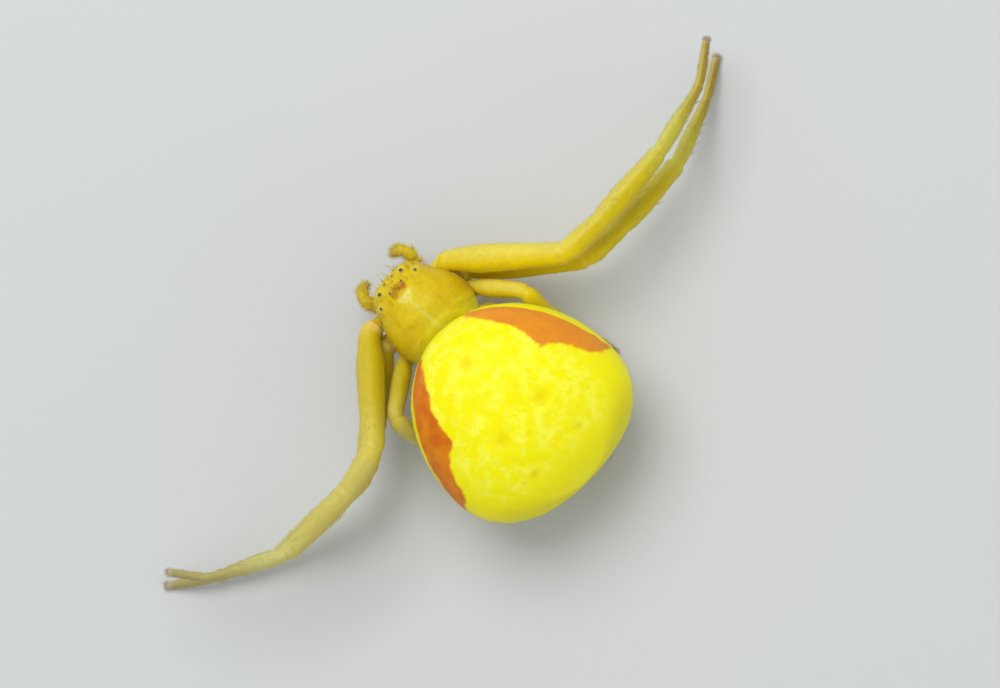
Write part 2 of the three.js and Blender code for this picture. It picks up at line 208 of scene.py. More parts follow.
def ring_faces(rings, sides, start=0):
    """Four-sided faces between neighbouring rings, and a fan over each end."""
    faces = []
    for side in range(sides):
        after = (side + 1) % sides
        for ring in range(rings - 1):
            low = start + ring * sides
            faces.append((low + side, low + after, low + sides + after, low + sides + side))
        last = start + (rings - 1) * sides
        faces.append((start + after, start + side, start + rings * sides))
        faces.append((last + side, last + after, start + rings * sides + 1))
    return faces


def with_poles(grid):
    """A grid of rings as one list, with the middle of the first and the last ring added."""
    flat = grid.reshape(-1, grid.shape[-1])
    return np.concatenate([flat, grid[0].mean(0)[None], grid[-1].mean(0)[None]])


def write_field(made, name, values):
    kind = "FLOAT" if values.shape[-1] == 1 else "FLOAT_COLOR"
    field = made.data.attributes.new(name, kind, "POINT")
    if kind == "FLOAT":
        field.data.foreach_set("value", values.ravel().astype(np.float32))
    else:
        padded = np.concatenate([values, np.ones((len(values), 1))], axis=1)
        field.data.foreach_set("color", padded.ravel().astype(np.float32))


def skin_from_rings(name, grids, fields=None):
    """One object from one or more grids of rings. fields holds, by name, each grid's values."""
    points, faces, start = [], [], 0
    for grid in grids:
        faces += ring_faces(grid.shape[0], grid.shape[1], start)
        points.append(with_poles(grid))
        start += len(points[-1])
    made = new_object(name, np.concatenate(points), faces)
    for field, values in (fields or {}).items():
        write_field(made, field, np.concatenate([with_poles(v) for v in values]))
    return made


def dress(made, material, nodes=()):
    """Gives a piece its material, puts it under the root body and hides the solids that it replaces."""
    made.data.materials.append(material)
    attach(made, "root")
    if nodes:
        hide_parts(*nodes)
    print(made.name + ":", len(made.data.vertices), "points, replaces", len(nodes))


def painted_piece(name, grids, tones, material, nodes=()):
    """A dressed skin of rings. tones holds, for each grid, one colour or a colour for each point."""
    paint = [np.ones_like(grid) * tone for grid, tone in zip(grids, tones)]
    dress(skin_from_rings(name, grids, {"paint": paint}), material, nodes)


# %% [markdown]
# ## Colours
#
# Colours are written as a painter mixes them, as red, green and blue out of 255, and turned into the
# linear light that shaders add and blend. Each skin is painted point by point from these and the paint
# is stored on the mesh, so that hair can pick up the colour of the skin under its own root.


# %% Colours
def colour(red, green, blue):
    value = np.array([red, green, blue]) / 255
    return np.where(value <= 0.04045, value / 12.92, ((value + 0.055) / 1.055) ** 2.4)


def mix(a, b, share):
    share = np.asarray(share)[..., None]
    return a * (1 - share) + b * share


def step(low, high, value):
    """0 below low, 1 above high, and smooth between."""
    share = np.clip((value - low) / (high - low), 0, 1)
    return share * share * (3 - 2 * share)


def through(stops, place):
    """A value that runs smoothly through [place, value] stops."""
    places = np.array([s[0] for s in stops], float)
    values = np.array([s[1] for s in stops], float)
    i = np.clip(np.searchsorted(places, place) - 1, 0, len(places) - 2)
    share = step(0, 1, (place - places[i]) / (places[i + 1] - places[i]))
    if values.ndim > 1:
        return mix(values[i], values[i + 1], share)
    return (1 - share) * values[i] + share * values[i + 1]


def bumps(points, size, seed=0):
    """Soft lumps of a given size, from -1 to 1, at each of a grid of points."""
    flat = points.reshape(-1, 3) / size + seed * 7.3
    values = [noise.noise(Vector(p)) for p in flat]
    return np.array(values).reshape(points.shape[:-1])


LEMON = colour(252, 240, 4)
PALE_LEMON = colour(255, 252, 84)
# A deeper yellow painted into the dimples as shade.
DIMPLE_SHADE_YELLOW = colour(236, 216, 0)
# The olive is painted shade at the tail of the abdomen.
TAIL_SHADE_OLIVE = colour(216, 204, 8)
BAND_ORANGE = colour(226, 134, 18)
BAND_DEEP = colour(212, 108, 14)
BAND_SUNLIT = colour(240, 160, 48)
FLANK_PALE = colour(216, 208, 84)
AMBER = colour(198, 156, 6)
GOLD = colour(218, 190, 12)
CREAM = colour(240, 230, 130)
PALE_SHELL = colour(232, 212, 66)
# A pale stripe with a painted highlight on it, along the legs' front edges.
PALE_STRIPE_HIGHLIGHT = colour(224, 220, 128)
RUST = colour(172, 92, 22)
print("lemon in linear light:", LEMON.round(3))

# %% [markdown]
# ## Shell and skin materials
#
# A spider's shell is thin and a little translucent: light goes in, wanders, and comes out tinted. The
# Principled shader's subsurface does exactly this, once its radius is given in the animal's own scale,
# tenths of a millimetre. Paint comes from the mesh, a fine noise breaks it up, and another noise gives
# the leathery grain as a bump far below the size of any modelled shape.


# %% Shell and skin materials
GLOW = (0.00032, 0.00024, 0.00008)  # how far red, green and blue light wander inside, in metres
SHEEN = (1.0, 0.95, 0.4, 1)  # mirrored light comes back through a waxy yellow film


def add_node(material, kind, **settings):
    node = material.node_tree.nodes.new(kind)
    for name, value in settings.items():
        setattr(node, name, value)
    return node


def wire(material, source, target):
    material.node_tree.links.new(source, target)


def noise_at(material, size, detail=3.0, roughness=0.5):
    """A noise fixed to the model, with lumps of a given size in mm."""
    place = add_node(material, "ShaderNodeTexCoord")
    grain = add_node(material, "ShaderNodeTexNoise")
    grain.inputs["Scale"].default_value = 1 / (size * MM)
    grain.inputs["Detail"].default_value = detail
    grain.inputs["Roughness"].default_value = roughness
    wire(material, place.outputs["Object"], grain.inputs["Vector"])
    return grain.outputs["Fac"]


def ramp(material, source, low, high, to_low=0.0, to_high=1.0):
    spread = add_node(material, "ShaderNodeMapRange", interpolation_type="SMOOTHSTEP")
    for name, value in zip(("From Min", "From Max", "To Min", "To Max"), (low, high, to_low, to_high)):
        spread.inputs[name].default_value = value
    wire(material, source, spread.inputs["Value"])
    return spread.outputs["Result"]


def blend_colour(material, share, a, b):
    """a where share is 0 and b where it is 1. Both are sockets or fixed colours, and share is a socket."""
    node = add_node(material, "ShaderNodeMix", data_type="RGBA")
    for socket, value in ((node.inputs["Factor"], share), (node.inputs[6], a), (node.inputs[7], b)):
        if isinstance(value, bpy.types.NodeSocket):
            wire(material, value, socket)
        else:
            socket.default_value = (*value, 1)
    return node.outputs[2]


def field_of(material, name):
    return add_node(material, "ShaderNodeAttribute", attribute_name=name)


def new_skin(name, roughness, glow, grain, grain_height, shine=0.3):
    """A material with subsurface glow and a fine bump, whose colour is still to be wired in."""
    material, shader = new_material(name)
    shader.inputs["Subsurface Weight"].default_value = glow
    shader.inputs["Subsurface Radius"].default_value = (1.0, GLOW[1] / GLOW[0], GLOW[2] / GLOW[0])
    shader.inputs["Subsurface Scale"].default_value = GLOW[0]
    shader.inputs["Specular IOR Level"].default_value = shine
    shader.inputs["Specular Tint"].default_value = SHEEN
    rough = ramp(material, noise_at(material, grain * 4), 0.3, 0.7, roughness - 0.06, roughness + 0.06)
    wire(material, rough, shader.inputs["Roughness"])
    bump = add_node(material, "ShaderNodeBump")
    bump.inputs["Strength"].default_value = 0.6
    bump.inputs["Distance"].default_value = grain_height * MM
    wire(material, noise_at(material, grain), bump.inputs["Height"])
    wire(material, bump.outputs["Normal"], shader.inputs["Normal"])
    return material, shader


def painted_shell(name, roughness, glow, grain, grain_height, shine=0.3, speckle=0.16):
    material, shader = new_skin(name, roughness, glow, grain, grain_height, shine)
    paint = field_of(material, "paint").outputs["Color"]
    darker = ramp(material, noise_at(material, grain * 5, 4), 0.35, 0.75, 0.0, speckle)
    tone = blend_colour(material, darker, paint, AMBER)
    wire(material, tone, shader.inputs["Base Color"])
    return material


SHELL = painted_shell("carapace_shell", 0.42, 0.35, 0.03, 0.004)
LEG_SHELL = painted_shell("leg_shell", 0.4, 0.5, 0.035, 0.004)
JAW_SHELL = painted_shell("jaw_shell", 0.3, 0.15, 0.03, 0.003)
print("materials:", [m.name for m in bpy.data.materials if m.users == 0])

# %% [markdown]
# ## The hind-body
#
# The abdomen is one soft bag, full of eggs: widest well behind its middle, undercut in front above the
# waist, a little squared in section. Two half-ovals meeting at the widest place make its outline from
# above, and two more its outline from the side. Its front end and rear end are the first and last ring,
# so "share" runs from the waist to the tail and "angle" runs round, from the top of the back.

# %% The hind-body's form
ABDOMEN_LENGTH, ABDOMEN_HALF_WIDTH, ABDOMEN_HALF_HEIGHT = 5.85, 3.13, 2.15
WIDEST_AT, HIGHEST_AT = 0.62, 0.5  # as shares of the length
ABDOMEN_FRONT = np.array([0.08, 0.95, 3.45])
TAIL_DROP = 0.9
ABDOMEN_TURN = math.radians(4)
SQUARENESS = 2.2


def oval(x, p, q):
    return np.maximum(0, 1 - x**p) ** (1 / q)


def from_peak(share, peak):
    return np.where(share < peak, (peak - share) / peak, (share - peak) / (1 - peak))


def abdomen_points(share, angle):
    wide, high = from_peak(share, WIDEST_AT), from_peak(share, HIGHEST_AT)
    across, up = np.sin(angle), np.cos(angle)
    width = np.where(share < WIDEST_AT, oval(wide, 2, 2), oval(wide, 2.3, 2.3))
    hollow = (share < HIGHEST_AT) & (up < 0)
    height = np.where(hollow, oval(high, 1.6, 1.2), oval(high, 2.2, 2.2))
    x = ABDOMEN_HALF_WIDTH * width * np.sign(across) * np.abs(across) ** (2 / SQUARENESS)
    z = ABDOMEN_HALF_HEIGHT * height * np.sign(up) * np.abs(up) ** (2 / SQUARENESS) - TAIL_DROP * share
    y = share * ABDOMEN_LENGTH
    cos, sin = math.cos(ABDOMEN_TURN), math.sin(ABDOMEN_TURN)
    return np.stack([cos * x + sin * y, cos * y - sin * x, z], axis=-1) + ABDOMEN_FRONT


def grid_normals(grid):
    """The way out of a grid of rings at each of its points."""
    along = np.gradient(grid, axis=0)
    around = np.roll(grid, -1, axis=1) - np.roll(grid, 1, axis=1)
    return unit(np.cross(around, along))


def shares_and_angles(shares, sides):
    """For each point of a grid of rings, how far along it is and how far round."""
    angles = np.linspace(0, 2 * np.pi, sides, endpoint=False)
    return shares[:, None] * np.ones((1, sides)), np.ones((len(shares), 1)) * angles


ABDOMEN_RINGS, ABDOMEN_SIDES = 132, 176
ends = 0.004 + 0.992 * np.linspace(0, 1, ABDOMEN_RINGS)
abdomen_share, abdomen_angle = shares_and_angles((1 - np.cos(np.pi * ends)) / 2, ABDOMEN_SIDES)
abdomen_plain = abdomen_points(abdomen_share, abdomen_angle)
print("abdomen spans", np.ptp(abdomen_plain.reshape(-1, 3), axis=0).round(2), "mm")

# %% [markdown]
# ## Markings of the back
#
# Two orange bands run back along her shoulders and stop at the widest place. Their inner edge is
# stepped: it follows the back's lobes. Drawing it as a line of [back, aside] places, in millimetres from
# the middle between the two large dimples, keeps every step where it belongs. What goes on the mesh is
# not the band itself but the distance to its edge. The shader can then cut a crisp line there at any
# closeness, and roughen it with a little noise, where painted points alone would look blurred.

# %% Markings of the back
BAND_EDGE = [
    (-4.2, 0.2), (-3.7, 0.45), (-3.27, 0.8), (-2.9, 1.08), (-2.4, 1.38), (-2.05, 1.63), (-1.6, 1.78),
    (-1.22, 1.8), (-0.95, 1.86), (-0.87, 2.12), (-0.6, 2.34), (-0.28, 2.53), (0.25, 2.72), (0.48, 2.95),
    (0.7, 3.5),
]
MIDLINE = (0.24, -0.14)  # how far right of the middle the markings are centred, at the front and rear
MM_PER_DEGREE = 0.045  # along the skin, round the widest place
BAND_LOW_EDGE = [(0.0, 56), (0.2, 63), (0.36, 69), (0.48, 73), (0.58, 79), (0.68, 92), (1.0, 92)]
DIMPLES = [(-2.22, 0.12, 0.26, 0.05), (0.0, 0.82, 0.24, 0.06), (0.0, -0.82, 0.24, 0.06),
           (1.35, 0.95, 0.15, 0.03), (1.35, -0.95, 0.15, 0.03)]  # back, aside, radius, depth


def back_and_aside(points):
    """How far behind the middle of the back each point lies, and how far to the spider's right."""
    offset = points - BACK_MIDDLE
    return -offset @ HEAD_WAY, -offset @ LEFT_WAY


def edge_distance(edge, back, aside):
    """Distance past a stepped edge: positive further from the midline than the edge is."""
    edge = np.array(edge)
    nearest = np.full(back.shape, 1e9)
    for start, end in zip(edge[:-1], edge[1:]):
        run = end - start
        share = ((back - start[0]) * run[0] + (aside - start[1]) * run[1]) / (run @ run)
        share = np.clip(share, 0, 1)
        gap = np.hypot(back - start[0] - share * run[0], aside - start[1] - share * run[1])
        nearest = np.minimum(nearest, gap)
    beyond = aside > np.interp(back, edge[:, 0], edge[:, 1])
    return np.where(beyond, nearest, -nearest)


back, aside = back_and_aside(abdomen_plain)
midline = np.interp(abdomen_share, [0, 1], MIDLINE)
from_top = np.degrees(np.minimum(abdomen_angle, 2 * np.pi - abdomen_angle))
into_band = edge_distance(BAND_EDGE, back, np.abs(aside - midline * (back < -1)))
to_low_edge = (through(BAND_LOW_EDGE, abdomen_share) - from_top) * MM_PER_DEGREE
band = np.minimum(into_band, to_low_edge)
# Painted light: her right side is painted as the lit one, with lighter bands and a pale flank that starts
# lower down.
sunlit = step(-0.5, 0.5, aside)
flank = step(70, 90, from_top - 12 * sunlit) * step(0.985, 0.82, abdomen_share)
# Painted shade: olive darkening towards the tail and away from the top of the back.
rear = step(0.72, 0.97, abdomen_share) * step(20, 70, from_top)
saddle = step(62, 34, from_top) * step(0.95, 0.8, abdomen_share)
print("share of the skin inside the bands:", round(float((band > 0).mean()), 3))

# %% [markdown]
# ## Relief of the back
#
# Small muscle dimples sink into the back, pale fat shows as faint raised cobbles, and the flanks and
# tail carry shallow folds where the bag can still stretch. All three are moves of the points along the
# skin's own way out, so they show in the outline and from every side, which a bump map would not.

# %% Relief of the back
COBBLE, LUMP = (0.008, 0.34), (0.012, 1.1)  # height and size
FOLD_HEIGHT, FOLDS_ALONG = 0.006, 95
TAIL_FOLD_HEIGHT, TAIL_FOLDS = 0.005, 0.4
abdomen_out = grid_normals(abdomen_plain)
relief = COBBLE[0] * bumps(abdomen_plain, COBBLE[1], 1) + LUMP[0] * bumps(abdomen_plain, LUMP[1], 2)
# Painted shade: the pits are also kept as a mask that darkens their colour.
dimple_shade = np.zeros_like(relief)
for dimple_back, dimple_aside, radius, depth in DIMPLES:
    away = np.hypot(back - dimple_back, aside - dimple_aside)
    pit = np.exp(-((away / radius) ** 2)) * (from_top < 80)
    relief -= depth * pit
    dimple_shade = np.maximum(dimple_shade, pit)
folds = np.sin(abdomen_share * FOLDS_ALONG + 2.5 * bumps(abdomen_plain, 1.6, 3))
relief += FOLD_HEIGHT * folds * step(60, 100, from_top) * step(0.15, 0.4, abdomen_share)
tail_folds = np.sin(from_top * TAIL_FOLDS + 4 * bumps(abdomen_plain, 0.9, 4))
relief += TAIL_FOLD_HEIGHT * tail_folds * step(0.82, 0.95, abdomen_share) * step(0.0, 30.0, from_top)
abdomen_grid = abdomen_plain + abdomen_out * relief[..., None]
print("relief from", relief.min().round(3), "to", relief.max().round(3), "mm")

# %% [markdown]
# ## The abdomen's skin
#
# Lemon yellow, with paler cobbles of fat near the midline, olive painted shade towards the tail, a deeper
# yellow painted as shade in the dimples, pale greenish flanks and the orange bands on top, painted lighter
# on her sunlit right side. The shader builds it in that order, like coats of paint, each laid on where its
# field or a noise says so.


# %% The abdomen's skin
def abdomen_material():
    material, shader = new_skin("abdomen_skin", 0.45, 0.35, 0.06, 0.008, shine=0.25)
    names = ("band", "flank", "rear", "saddle", "pit", "sunlit")
    fields = {name: field_of(material, name).outputs["Fac"] for name in names}
    fat = ramp(material, noise_at(material, 0.4, 3, 0.6), 0.4, 0.72, 0, 0.85)
    fat_here = add_node(material, "ShaderNodeMath", operation="MULTIPLY")
    wire(material, fat, fat_here.inputs[0])
    wire(material, fields["saddle"], fat_here.inputs[1])
    tone = blend_colour(material, fat_here.outputs[0], LEMON, PALE_LEMON)
    # Painted shade: olive towards the tail.
    tone = blend_colour(material, ramp(material, fields["rear"], 0, 1, 0, 0.72), tone, TAIL_SHADE_OLIVE)
    # Painted shade: the dimples are darkened to a deeper yellow.
    tone = blend_colour(material, ramp(material, fields["pit"], 0.1, 1, 0, 0.55), tone, DIMPLE_SHADE_YELLOW)
    tone = blend_colour(material, fields["flank"], tone, FLANK_PALE)
    ragged = add_node(material, "ShaderNodeMath", operation="MULTIPLY_ADD")
    wire(material, noise_at(material, 0.3, 2), ragged.inputs[0])
    ragged.inputs[1].default_value = 0.16
    wire(material, fields["band"], ragged.inputs[2])
    in_band = ramp(material, ragged.outputs[0], 0.03, 0.13)
    deep = ramp(material, noise_at(material, 0.5, 3), 0.35, 0.65)
    orange = blend_colour(material, deep, BAND_ORANGE, BAND_DEEP)
    # Painted light: the bands on her right side are lightened towards a sunlit orange.
    lit = ramp(material, fields["sunlit"], 0, 1, 0, 0.6)
    orange = blend_colour(material, lit, orange, BAND_SUNLIT)
    tone = blend_colour(material, in_band, tone, orange)
    wire(material, tone, shader.inputs["Base Color"])
    return material


coats_of_paint = {"band": band, "flank": flank, "rear": rear, "saddle": saddle, "pit": dimple_shade,
                  "sunlit": sunlit}
abdomen_fields = {name: [values[..., None]] for name, values in coats_of_paint.items()}
abdomen = skin_from_rings("abdomen_skin", [abdomen_grid], abdomen_fields)
dress(abdomen, abdomen_material(), ["abdomen"])
# This paint, with the painted shade of the tail in it, is what the abdomen's hair starts from.
abdomen_paint = mix(mix(LEMON, TAIL_SHADE_OLIVE, rear * 0.7), FLANK_PALE, flank)
abdomen_paint = mix(abdomen_paint, BAND_ORANGE, step(-0.03, 0.03, band))

# %% [markdown]
# ## The fore-body
#
# The carapace is a low dome, widest over the bases of the second and third legs, narrower at the head,
# and steep in front. Head and chest are one plate. Its outline from above is a smooth swell and then a
# blunt oval; its outline from the side is a line through a few heights. Faint grooves run out from the
# middle to the legs, where muscles pull the plate from inside, and the eyes stand on soft hills.

# %% The carapace's form
CARAPACE_REAR = 1.5
HEAD_HALF_WIDTH, CHEST_HALF_WIDTH, CHEST_WIDEST_AT = 0.86, 1.4, 0.55
CARAPACE_EDGE, CARAPACE_LIP = 1.95, 0.07  # height of its lower edge, and how far the plate curls in below
FRONT_ROUNDING, ROUNDED_OVER, ROUNDED_ABOUT = 0.16, 0.05, 0.22  # share lost, share of length, height
CARAPACE_HEIGHTS = [(0, 2.42), (0.08, 2.72), (0.3, 2.94), (0.5, 3.04), (0.68, 2.92), (1, 2.12)]
EYES = {
    "front_middle": (0.16, -1.33, 0.05, 0.025, 0.1),  # aside, along, radius, hill height, hill radius
    "front_side": (0.48, -1.23, 0.068, 0.1, 0.17),
    "rear_middle": (0.24, -1.02, 0.048, 0.025, 0.1),
    "rear_side": (0.72, -0.93, 0.06, 0.1, 0.17),
}


def carapace_half_width(share):
    behind = np.clip((share - CHEST_WIDEST_AT) / (1 - CHEST_WIDEST_AT), 0, 1)
    rear_part = CHEST_HALF_WIDTH * (1 - behind**2.3) ** 0.6
    grow = step(0, CHEST_WIDEST_AT, share)
    front_part = HEAD_HALF_WIDTH + (CHEST_HALF_WIDTH - HEAD_HALF_WIDTH) * grow
    front_part = front_part * (1 - 0.3 * (1 - np.minimum(1, share / 0.1)) ** 2)
    return np.where(share > CHEST_WIDEST_AT, rear_part, front_part)


def carapace_points(share, angle):
    across, up = np.sin(angle), np.cos(angle)
    top = through(CARAPACE_HEIGHTS, share) - CARAPACE_EDGE + CARAPACE_LIP
    x = carapace_half_width(share) * np.sign(across) * np.abs(across) ** 0.86
    rise = np.where(up > 0, top * np.abs(up) ** 0.84, -CARAPACE_LIP * np.abs(up) ** 0.6)
    y = CARAPACE_FRONT + (CARAPACE_REAR - CARAPACE_FRONT) * share
    points = np.stack([x, y * np.ones_like(x), CARAPACE_EDGE + rise], axis=-1)
    rounding = np.sqrt(np.clip(share / ROUNDED_OVER, 0, 1)) * FRONT_ROUNDING + (1 - FRONT_ROUNDING)
    middle = np.array([0, 0, CARAPACE_EDGE + ROUNDED_ABOUT])
    points[..., [0, 2]] = middle[[0, 2]] + (points[..., [0, 2]] - middle[[0, 2]]) * rounding[..., None]
    return points


CARAPACE_RINGS, CARAPACE_SIDES = 110, 128
carapace_share, carapace_angle = shares_and_angles(np.linspace(0, 0.997, CARAPACE_RINGS), CARAPACE_SIDES)
carapace_plain = carapace_points(carapace_share, carapace_angle)
print("carapace spans", np.ptp(carapace_plain.reshape(-1, 3), axis=0).round(2), "mm")

# %% Hills, grooves and rim
PIT_AT, SPOKES = 0.35, 8.5  # where the grooves start, and how close together they are
SPOKE_DEPTH, NECK_DEPTH, RIM_HEIGHT = 0.018, 0.03, 0.02
GRAIN_HEIGHT, GRAIN_SIZE = 0.006, 0.18
carapace_x, carapace_y = carapace_plain[..., 0], carapace_plain[..., 1]
on_top = step(0.0, 0.3, np.cos(carapace_angle))
hills = np.zeros_like(carapace_x)
for eye_x, eye_y, _, height, width in EYES.values():
    for side in (1, -1):
        away = np.hypot(carapace_x - side * eye_x, carapace_y - eye_y)
        hills = np.maximum(hills, height * np.exp(-((away / width) ** 2)))
from_pit = carapace_y - PIT_AT
spoke_angle = np.arctan2(np.abs(carapace_x), from_pit)
spokes = np.cos(spoke_angle * SPOKES) * step(0.25, 0.7, np.hypot(carapace_x, from_pit))
groove = -SPOKE_DEPTH * np.maximum(0, -spokes) * step(-1.0, -0.5, carapace_y)
neck = np.exp(-(((np.abs(carapace_x) - 0.55 - 0.35 * (carapace_y + 0.9)) / 0.12) ** 2))
neck = -NECK_DEPTH * neck * step(-1.0, -0.6, carapace_y) * step(0.4, -0.1, carapace_y)
rim = RIM_HEIGHT * np.exp(-(((carapace_angle % np.pi - np.pi / 2) / 0.12) ** 2))
grain = GRAIN_HEIGHT * bumps(carapace_plain, GRAIN_SIZE, 5)
carapace_relief = (hills + groove + neck) * on_top + rim + grain
carapace_grid = carapace_plain + grid_normals(carapace_plain) * carapace_relief[..., None]
print("highest hill", hills.max().round(3), "mm")

# %% [markdown]
# ## Colour of the fore-body
#
# The plate is amber yellow, deeper on its flanks, paler along the middle and bright yellow where it
# slopes down to the waist. Behind the eyes lies a small ragged rusty crescent, open towards a cream
# triangle. The four outer eyes have pale hills. Each mark is a soft spot at its own place, so the code
# reads like directions to a painter.


# %% Colour of the fore-body
def spot(x, y, centre_x, centre_y, half_width, half_length):
    """A soft oval spot, 1 in its middle."""
    away = np.hypot((x - centre_x) / half_width, (y - centre_y) / half_length)
    return step(1.15, 0.75, away)


def carapace_paint(points, hill):
    x, y = points[..., 0], points[..., 1]
    cloud, streak = bumps(points, 0.45, 6), bumps(points * [1, 0.35, 1], 0.16, 7)
    middle = np.exp(-((np.abs(x) / (0.34 + 0.16 * step(-0.6, 1.2, y))) ** 2)) * step(-0.95, -0.55, y)
    tone = mix(GOLD, colour(218, 198, 38), np.clip(middle * 0.9 + 0.25 * cloud, 0, 1))
    tone = mix(tone, AMBER, np.clip(step(0.6, 1.2, np.abs(x)) * (0.5 + 0.5 * cloud), 0, 1) * 0.7)
    tone = mix(tone, colour(190, 140, 4), step(0.15, 0.6, streak) * step(0.3, 0.6, np.abs(x)) * 0.3)
    tone = mix(tone, colour(255, 246, 44), step(0.4, 1.0, y) * 0.9)
    patch = spot(x, y + 0.1 * cloud, 0.0, -0.9, 0.3, 0.22) * (1 - 0.8 * spot(x, y, 0.0, -0.68, 0.2, 0.17))
    tone = mix(tone, RUST, np.clip(patch * (0.68 + 0.4 * streak), 0, 1))
    triangle = step(0.03, -0.03, np.abs(x) - 0.26 * np.clip(-0.34 - y, 0, 0.3) / 0.3)
    tone = mix(tone, CREAM, triangle * (1 - patch) * step(-0.74, -0.66, y) * (0.62 + 0.3 * cloud))
    tone = mix(tone, PALE_SHELL, spot(np.abs(x), y, 0.0, -1.17, 0.2, 0.06) * 0.4)
    return mix(tone, PALE_SHELL, step(0.03, 0.1, hill) * 0.5)


carapace_colours = carapace_paint(carapace_grid, hills)
painted_piece("carapace_shell", [carapace_grid], [carapace_colours], SHELL, ["carapace"])

# %% [markdown]
# ## Eyes
#
# Eight small eyes in two curved rows. Each is a clear lens over a dark cup, smooth as glass, so a black
# ball with a hard clear coat is close to the truth. A pale ring of shell holds each one. The lens is
# made as rings too, set into its hill so that about a third of it shows.


# %% Eyes
def eye_material():
    material, shader = new_material("eye")
    depth = blend_colour(material, ramp(material, noise_at(material, 0.05), 0.3, 0.7),
                         colour(24, 13, 8), colour(66, 34, 14))
    wire(material, depth, shader.inputs["Base Color"])
    shader.inputs["Roughness"].default_value = 0.06
    shader.inputs["Coat Weight"].default_value = 1.0
    shader.inputs["Coat Roughness"].default_value = 0.02
    return material


def square_to(way):
    """A way of length 1, and two more at right angles to it and to each other."""
    way = unit(way)
    across = unit(np.cross(way, [0.3, 0.1, 1.0]))
    return way, across, np.cross(way, across)


def ball_grid(centre, radius, way, stretch=1.0, rings=18, sides=24):
    """Rings of a ball, with its axis along a given way."""
    way, across, other = square_to(way)
    polar = np.linspace(0.04, np.pi - 0.04, rings)[:, None, None]
    round_it = np.linspace(0, 2 * np.pi, sides, endpoint=False)[None, :, None]
    ring = np.cos(round_it) * across + np.sin(round_it) * other
    return np.asarray(centre) + radius * (np.sin(polar) * ring - stretch * np.cos(polar) * way)


def torus_grid(centre, radius, thickness, way, rings=28, sides=10):
    """Rings round a closed loop, as a ring of shell about an eye."""
    way, across, other = square_to(way)
    turn = np.linspace(0, 2 * np.pi, rings, endpoint=False)[:, None, None]
    small = np.linspace(0, 2 * np.pi, sides, endpoint=False)[None, :, None]
    out = np.cos(turn) * across + np.sin(turn) * other
    return np.asarray(centre) + out * (radius + thickness * np.cos(small)) + way * thickness * np.sin(small)


def loop_object(name, grids, paint):
    """An object from closed loops of rings."""
    points, faces, start = [], [], 0
    for grid in grids:
        rings, sides = grid.shape[:2]
        for r in range(rings):
            for s in range(sides):
                near, far = start + r * sides, start + (r + 1) % rings * sides
                t = (s + 1) % sides
                faces.append((near + s, near + t, far + t, far + s))
        points.append(grid.reshape(-1, 3))
        start += rings * sides
    made = new_object(name, np.concatenate(points), faces)
    write_field(made, "paint", np.ones((start, 1)) * paint)
    return made


EYE_SUNK, RING_RAISED, RING_RADIUS = 0.35, 0.4, 0.96  # in radii of the eye
RING_THICKNESS, RING_TONE = 0.013, mix(GOLD, CREAM, 0.35)
LOOK_ASIDE, LOOK_UP, LOOK_AHEAD, LOOK_SHARE = 0.9, 0.6, {"front": 0.55, "rear": 0.1}, 0.6
EYE = eye_material()
carapace_out = grid_normals(carapace_grid)
rings_of_shell = []
for place, (eye_x, eye_y, radius, *_) in EYES.items():
    for side_name, side in (("left", 1), ("right", -1)):
        away = np.hypot(carapace_grid[..., 0] - side * eye_x, carapace_grid[..., 1] - eye_y)
        away = away + 9 * (np.cos(carapace_angle) < 0)
        nearest = np.unravel_index(away.argmin(), away.shape)
        lean = unit([side * eye_x * LOOK_ASIDE, -LOOK_AHEAD[place.split("_")[0]], LOOK_UP])
        out = unit(carapace_out[nearest] + LOOK_SHARE * lean)
        centre = carapace_grid[nearest] - out * radius * EYE_SUNK
        eye = skin_from_rings(f"eye_{place}_{side_name}", [ball_grid(centre, radius, out)])
        dress(eye, EYE, [f"eye_{place}_{side_name}"])
        ring_at = centre + out * radius * RING_RAISED
        rings_of_shell.append(torus_grid(ring_at, radius * RING_RADIUS, RING_THICKNESS, out))
dress(loop_object("eye_rings", rings_of_shell, RING_TONE), SHELL)

# %% [markdown]
# ## A leg is a path and a thickness
#
# Each leg has seven segments. It is drawn as a line through its joints, rounded a little at each, and a
# ring stands on that line every few hundredths of a millimetre. The thickness swells along each segment
# and then narrows. At a joint the hard tube ends in a fine rim, and softer skin shows between rims as a
# shallow waist. One skin runs from hip to tip, so no seam shows anywhere.

# %% Leg sizes and poses
LONG_LEG = {  # length, then radius at the near end, at the widest, and at the far end
    "coxa": (0.72, 0.19, 0.22, 0.24), "trochanter": (0.4, 0.24, 0.31, 0.32),
    "femur": (3.7, 0.32, 0.41, 0.33), "patella": (1.4, 0.31, 0.34, 0.3),
    "tibia": (2.5, 0.3, 0.34, 0.26), "metatarsus": (2.4, 0.21, 0.22, 0.14),
    "tarsus": (1.42, 0.13, 0.13, 0.11),
}
SHORT_LEG = {
    "coxa": (0.6, 0.19, 0.22, 0.22), "trochanter": (0.28, 0.22, 0.24, 0.23),
    "femur": (1.95, 0.23, 0.27, 0.24), "patella": (0.9, 0.22, 0.26, 0.25),
    "tibia": (1.3, 0.25, 0.26, 0.22), "metatarsus": (1.05, 0.2, 0.21, 0.15),
    "tarsus": (0.75, 0.14, 0.14, 0.11),
}
HIP_HEIGHT, FOOT_HEIGHT, BEND = 1.48, 0.07, 0.36
SWELL = 0.28  # share of a segment over which it swells to its widest
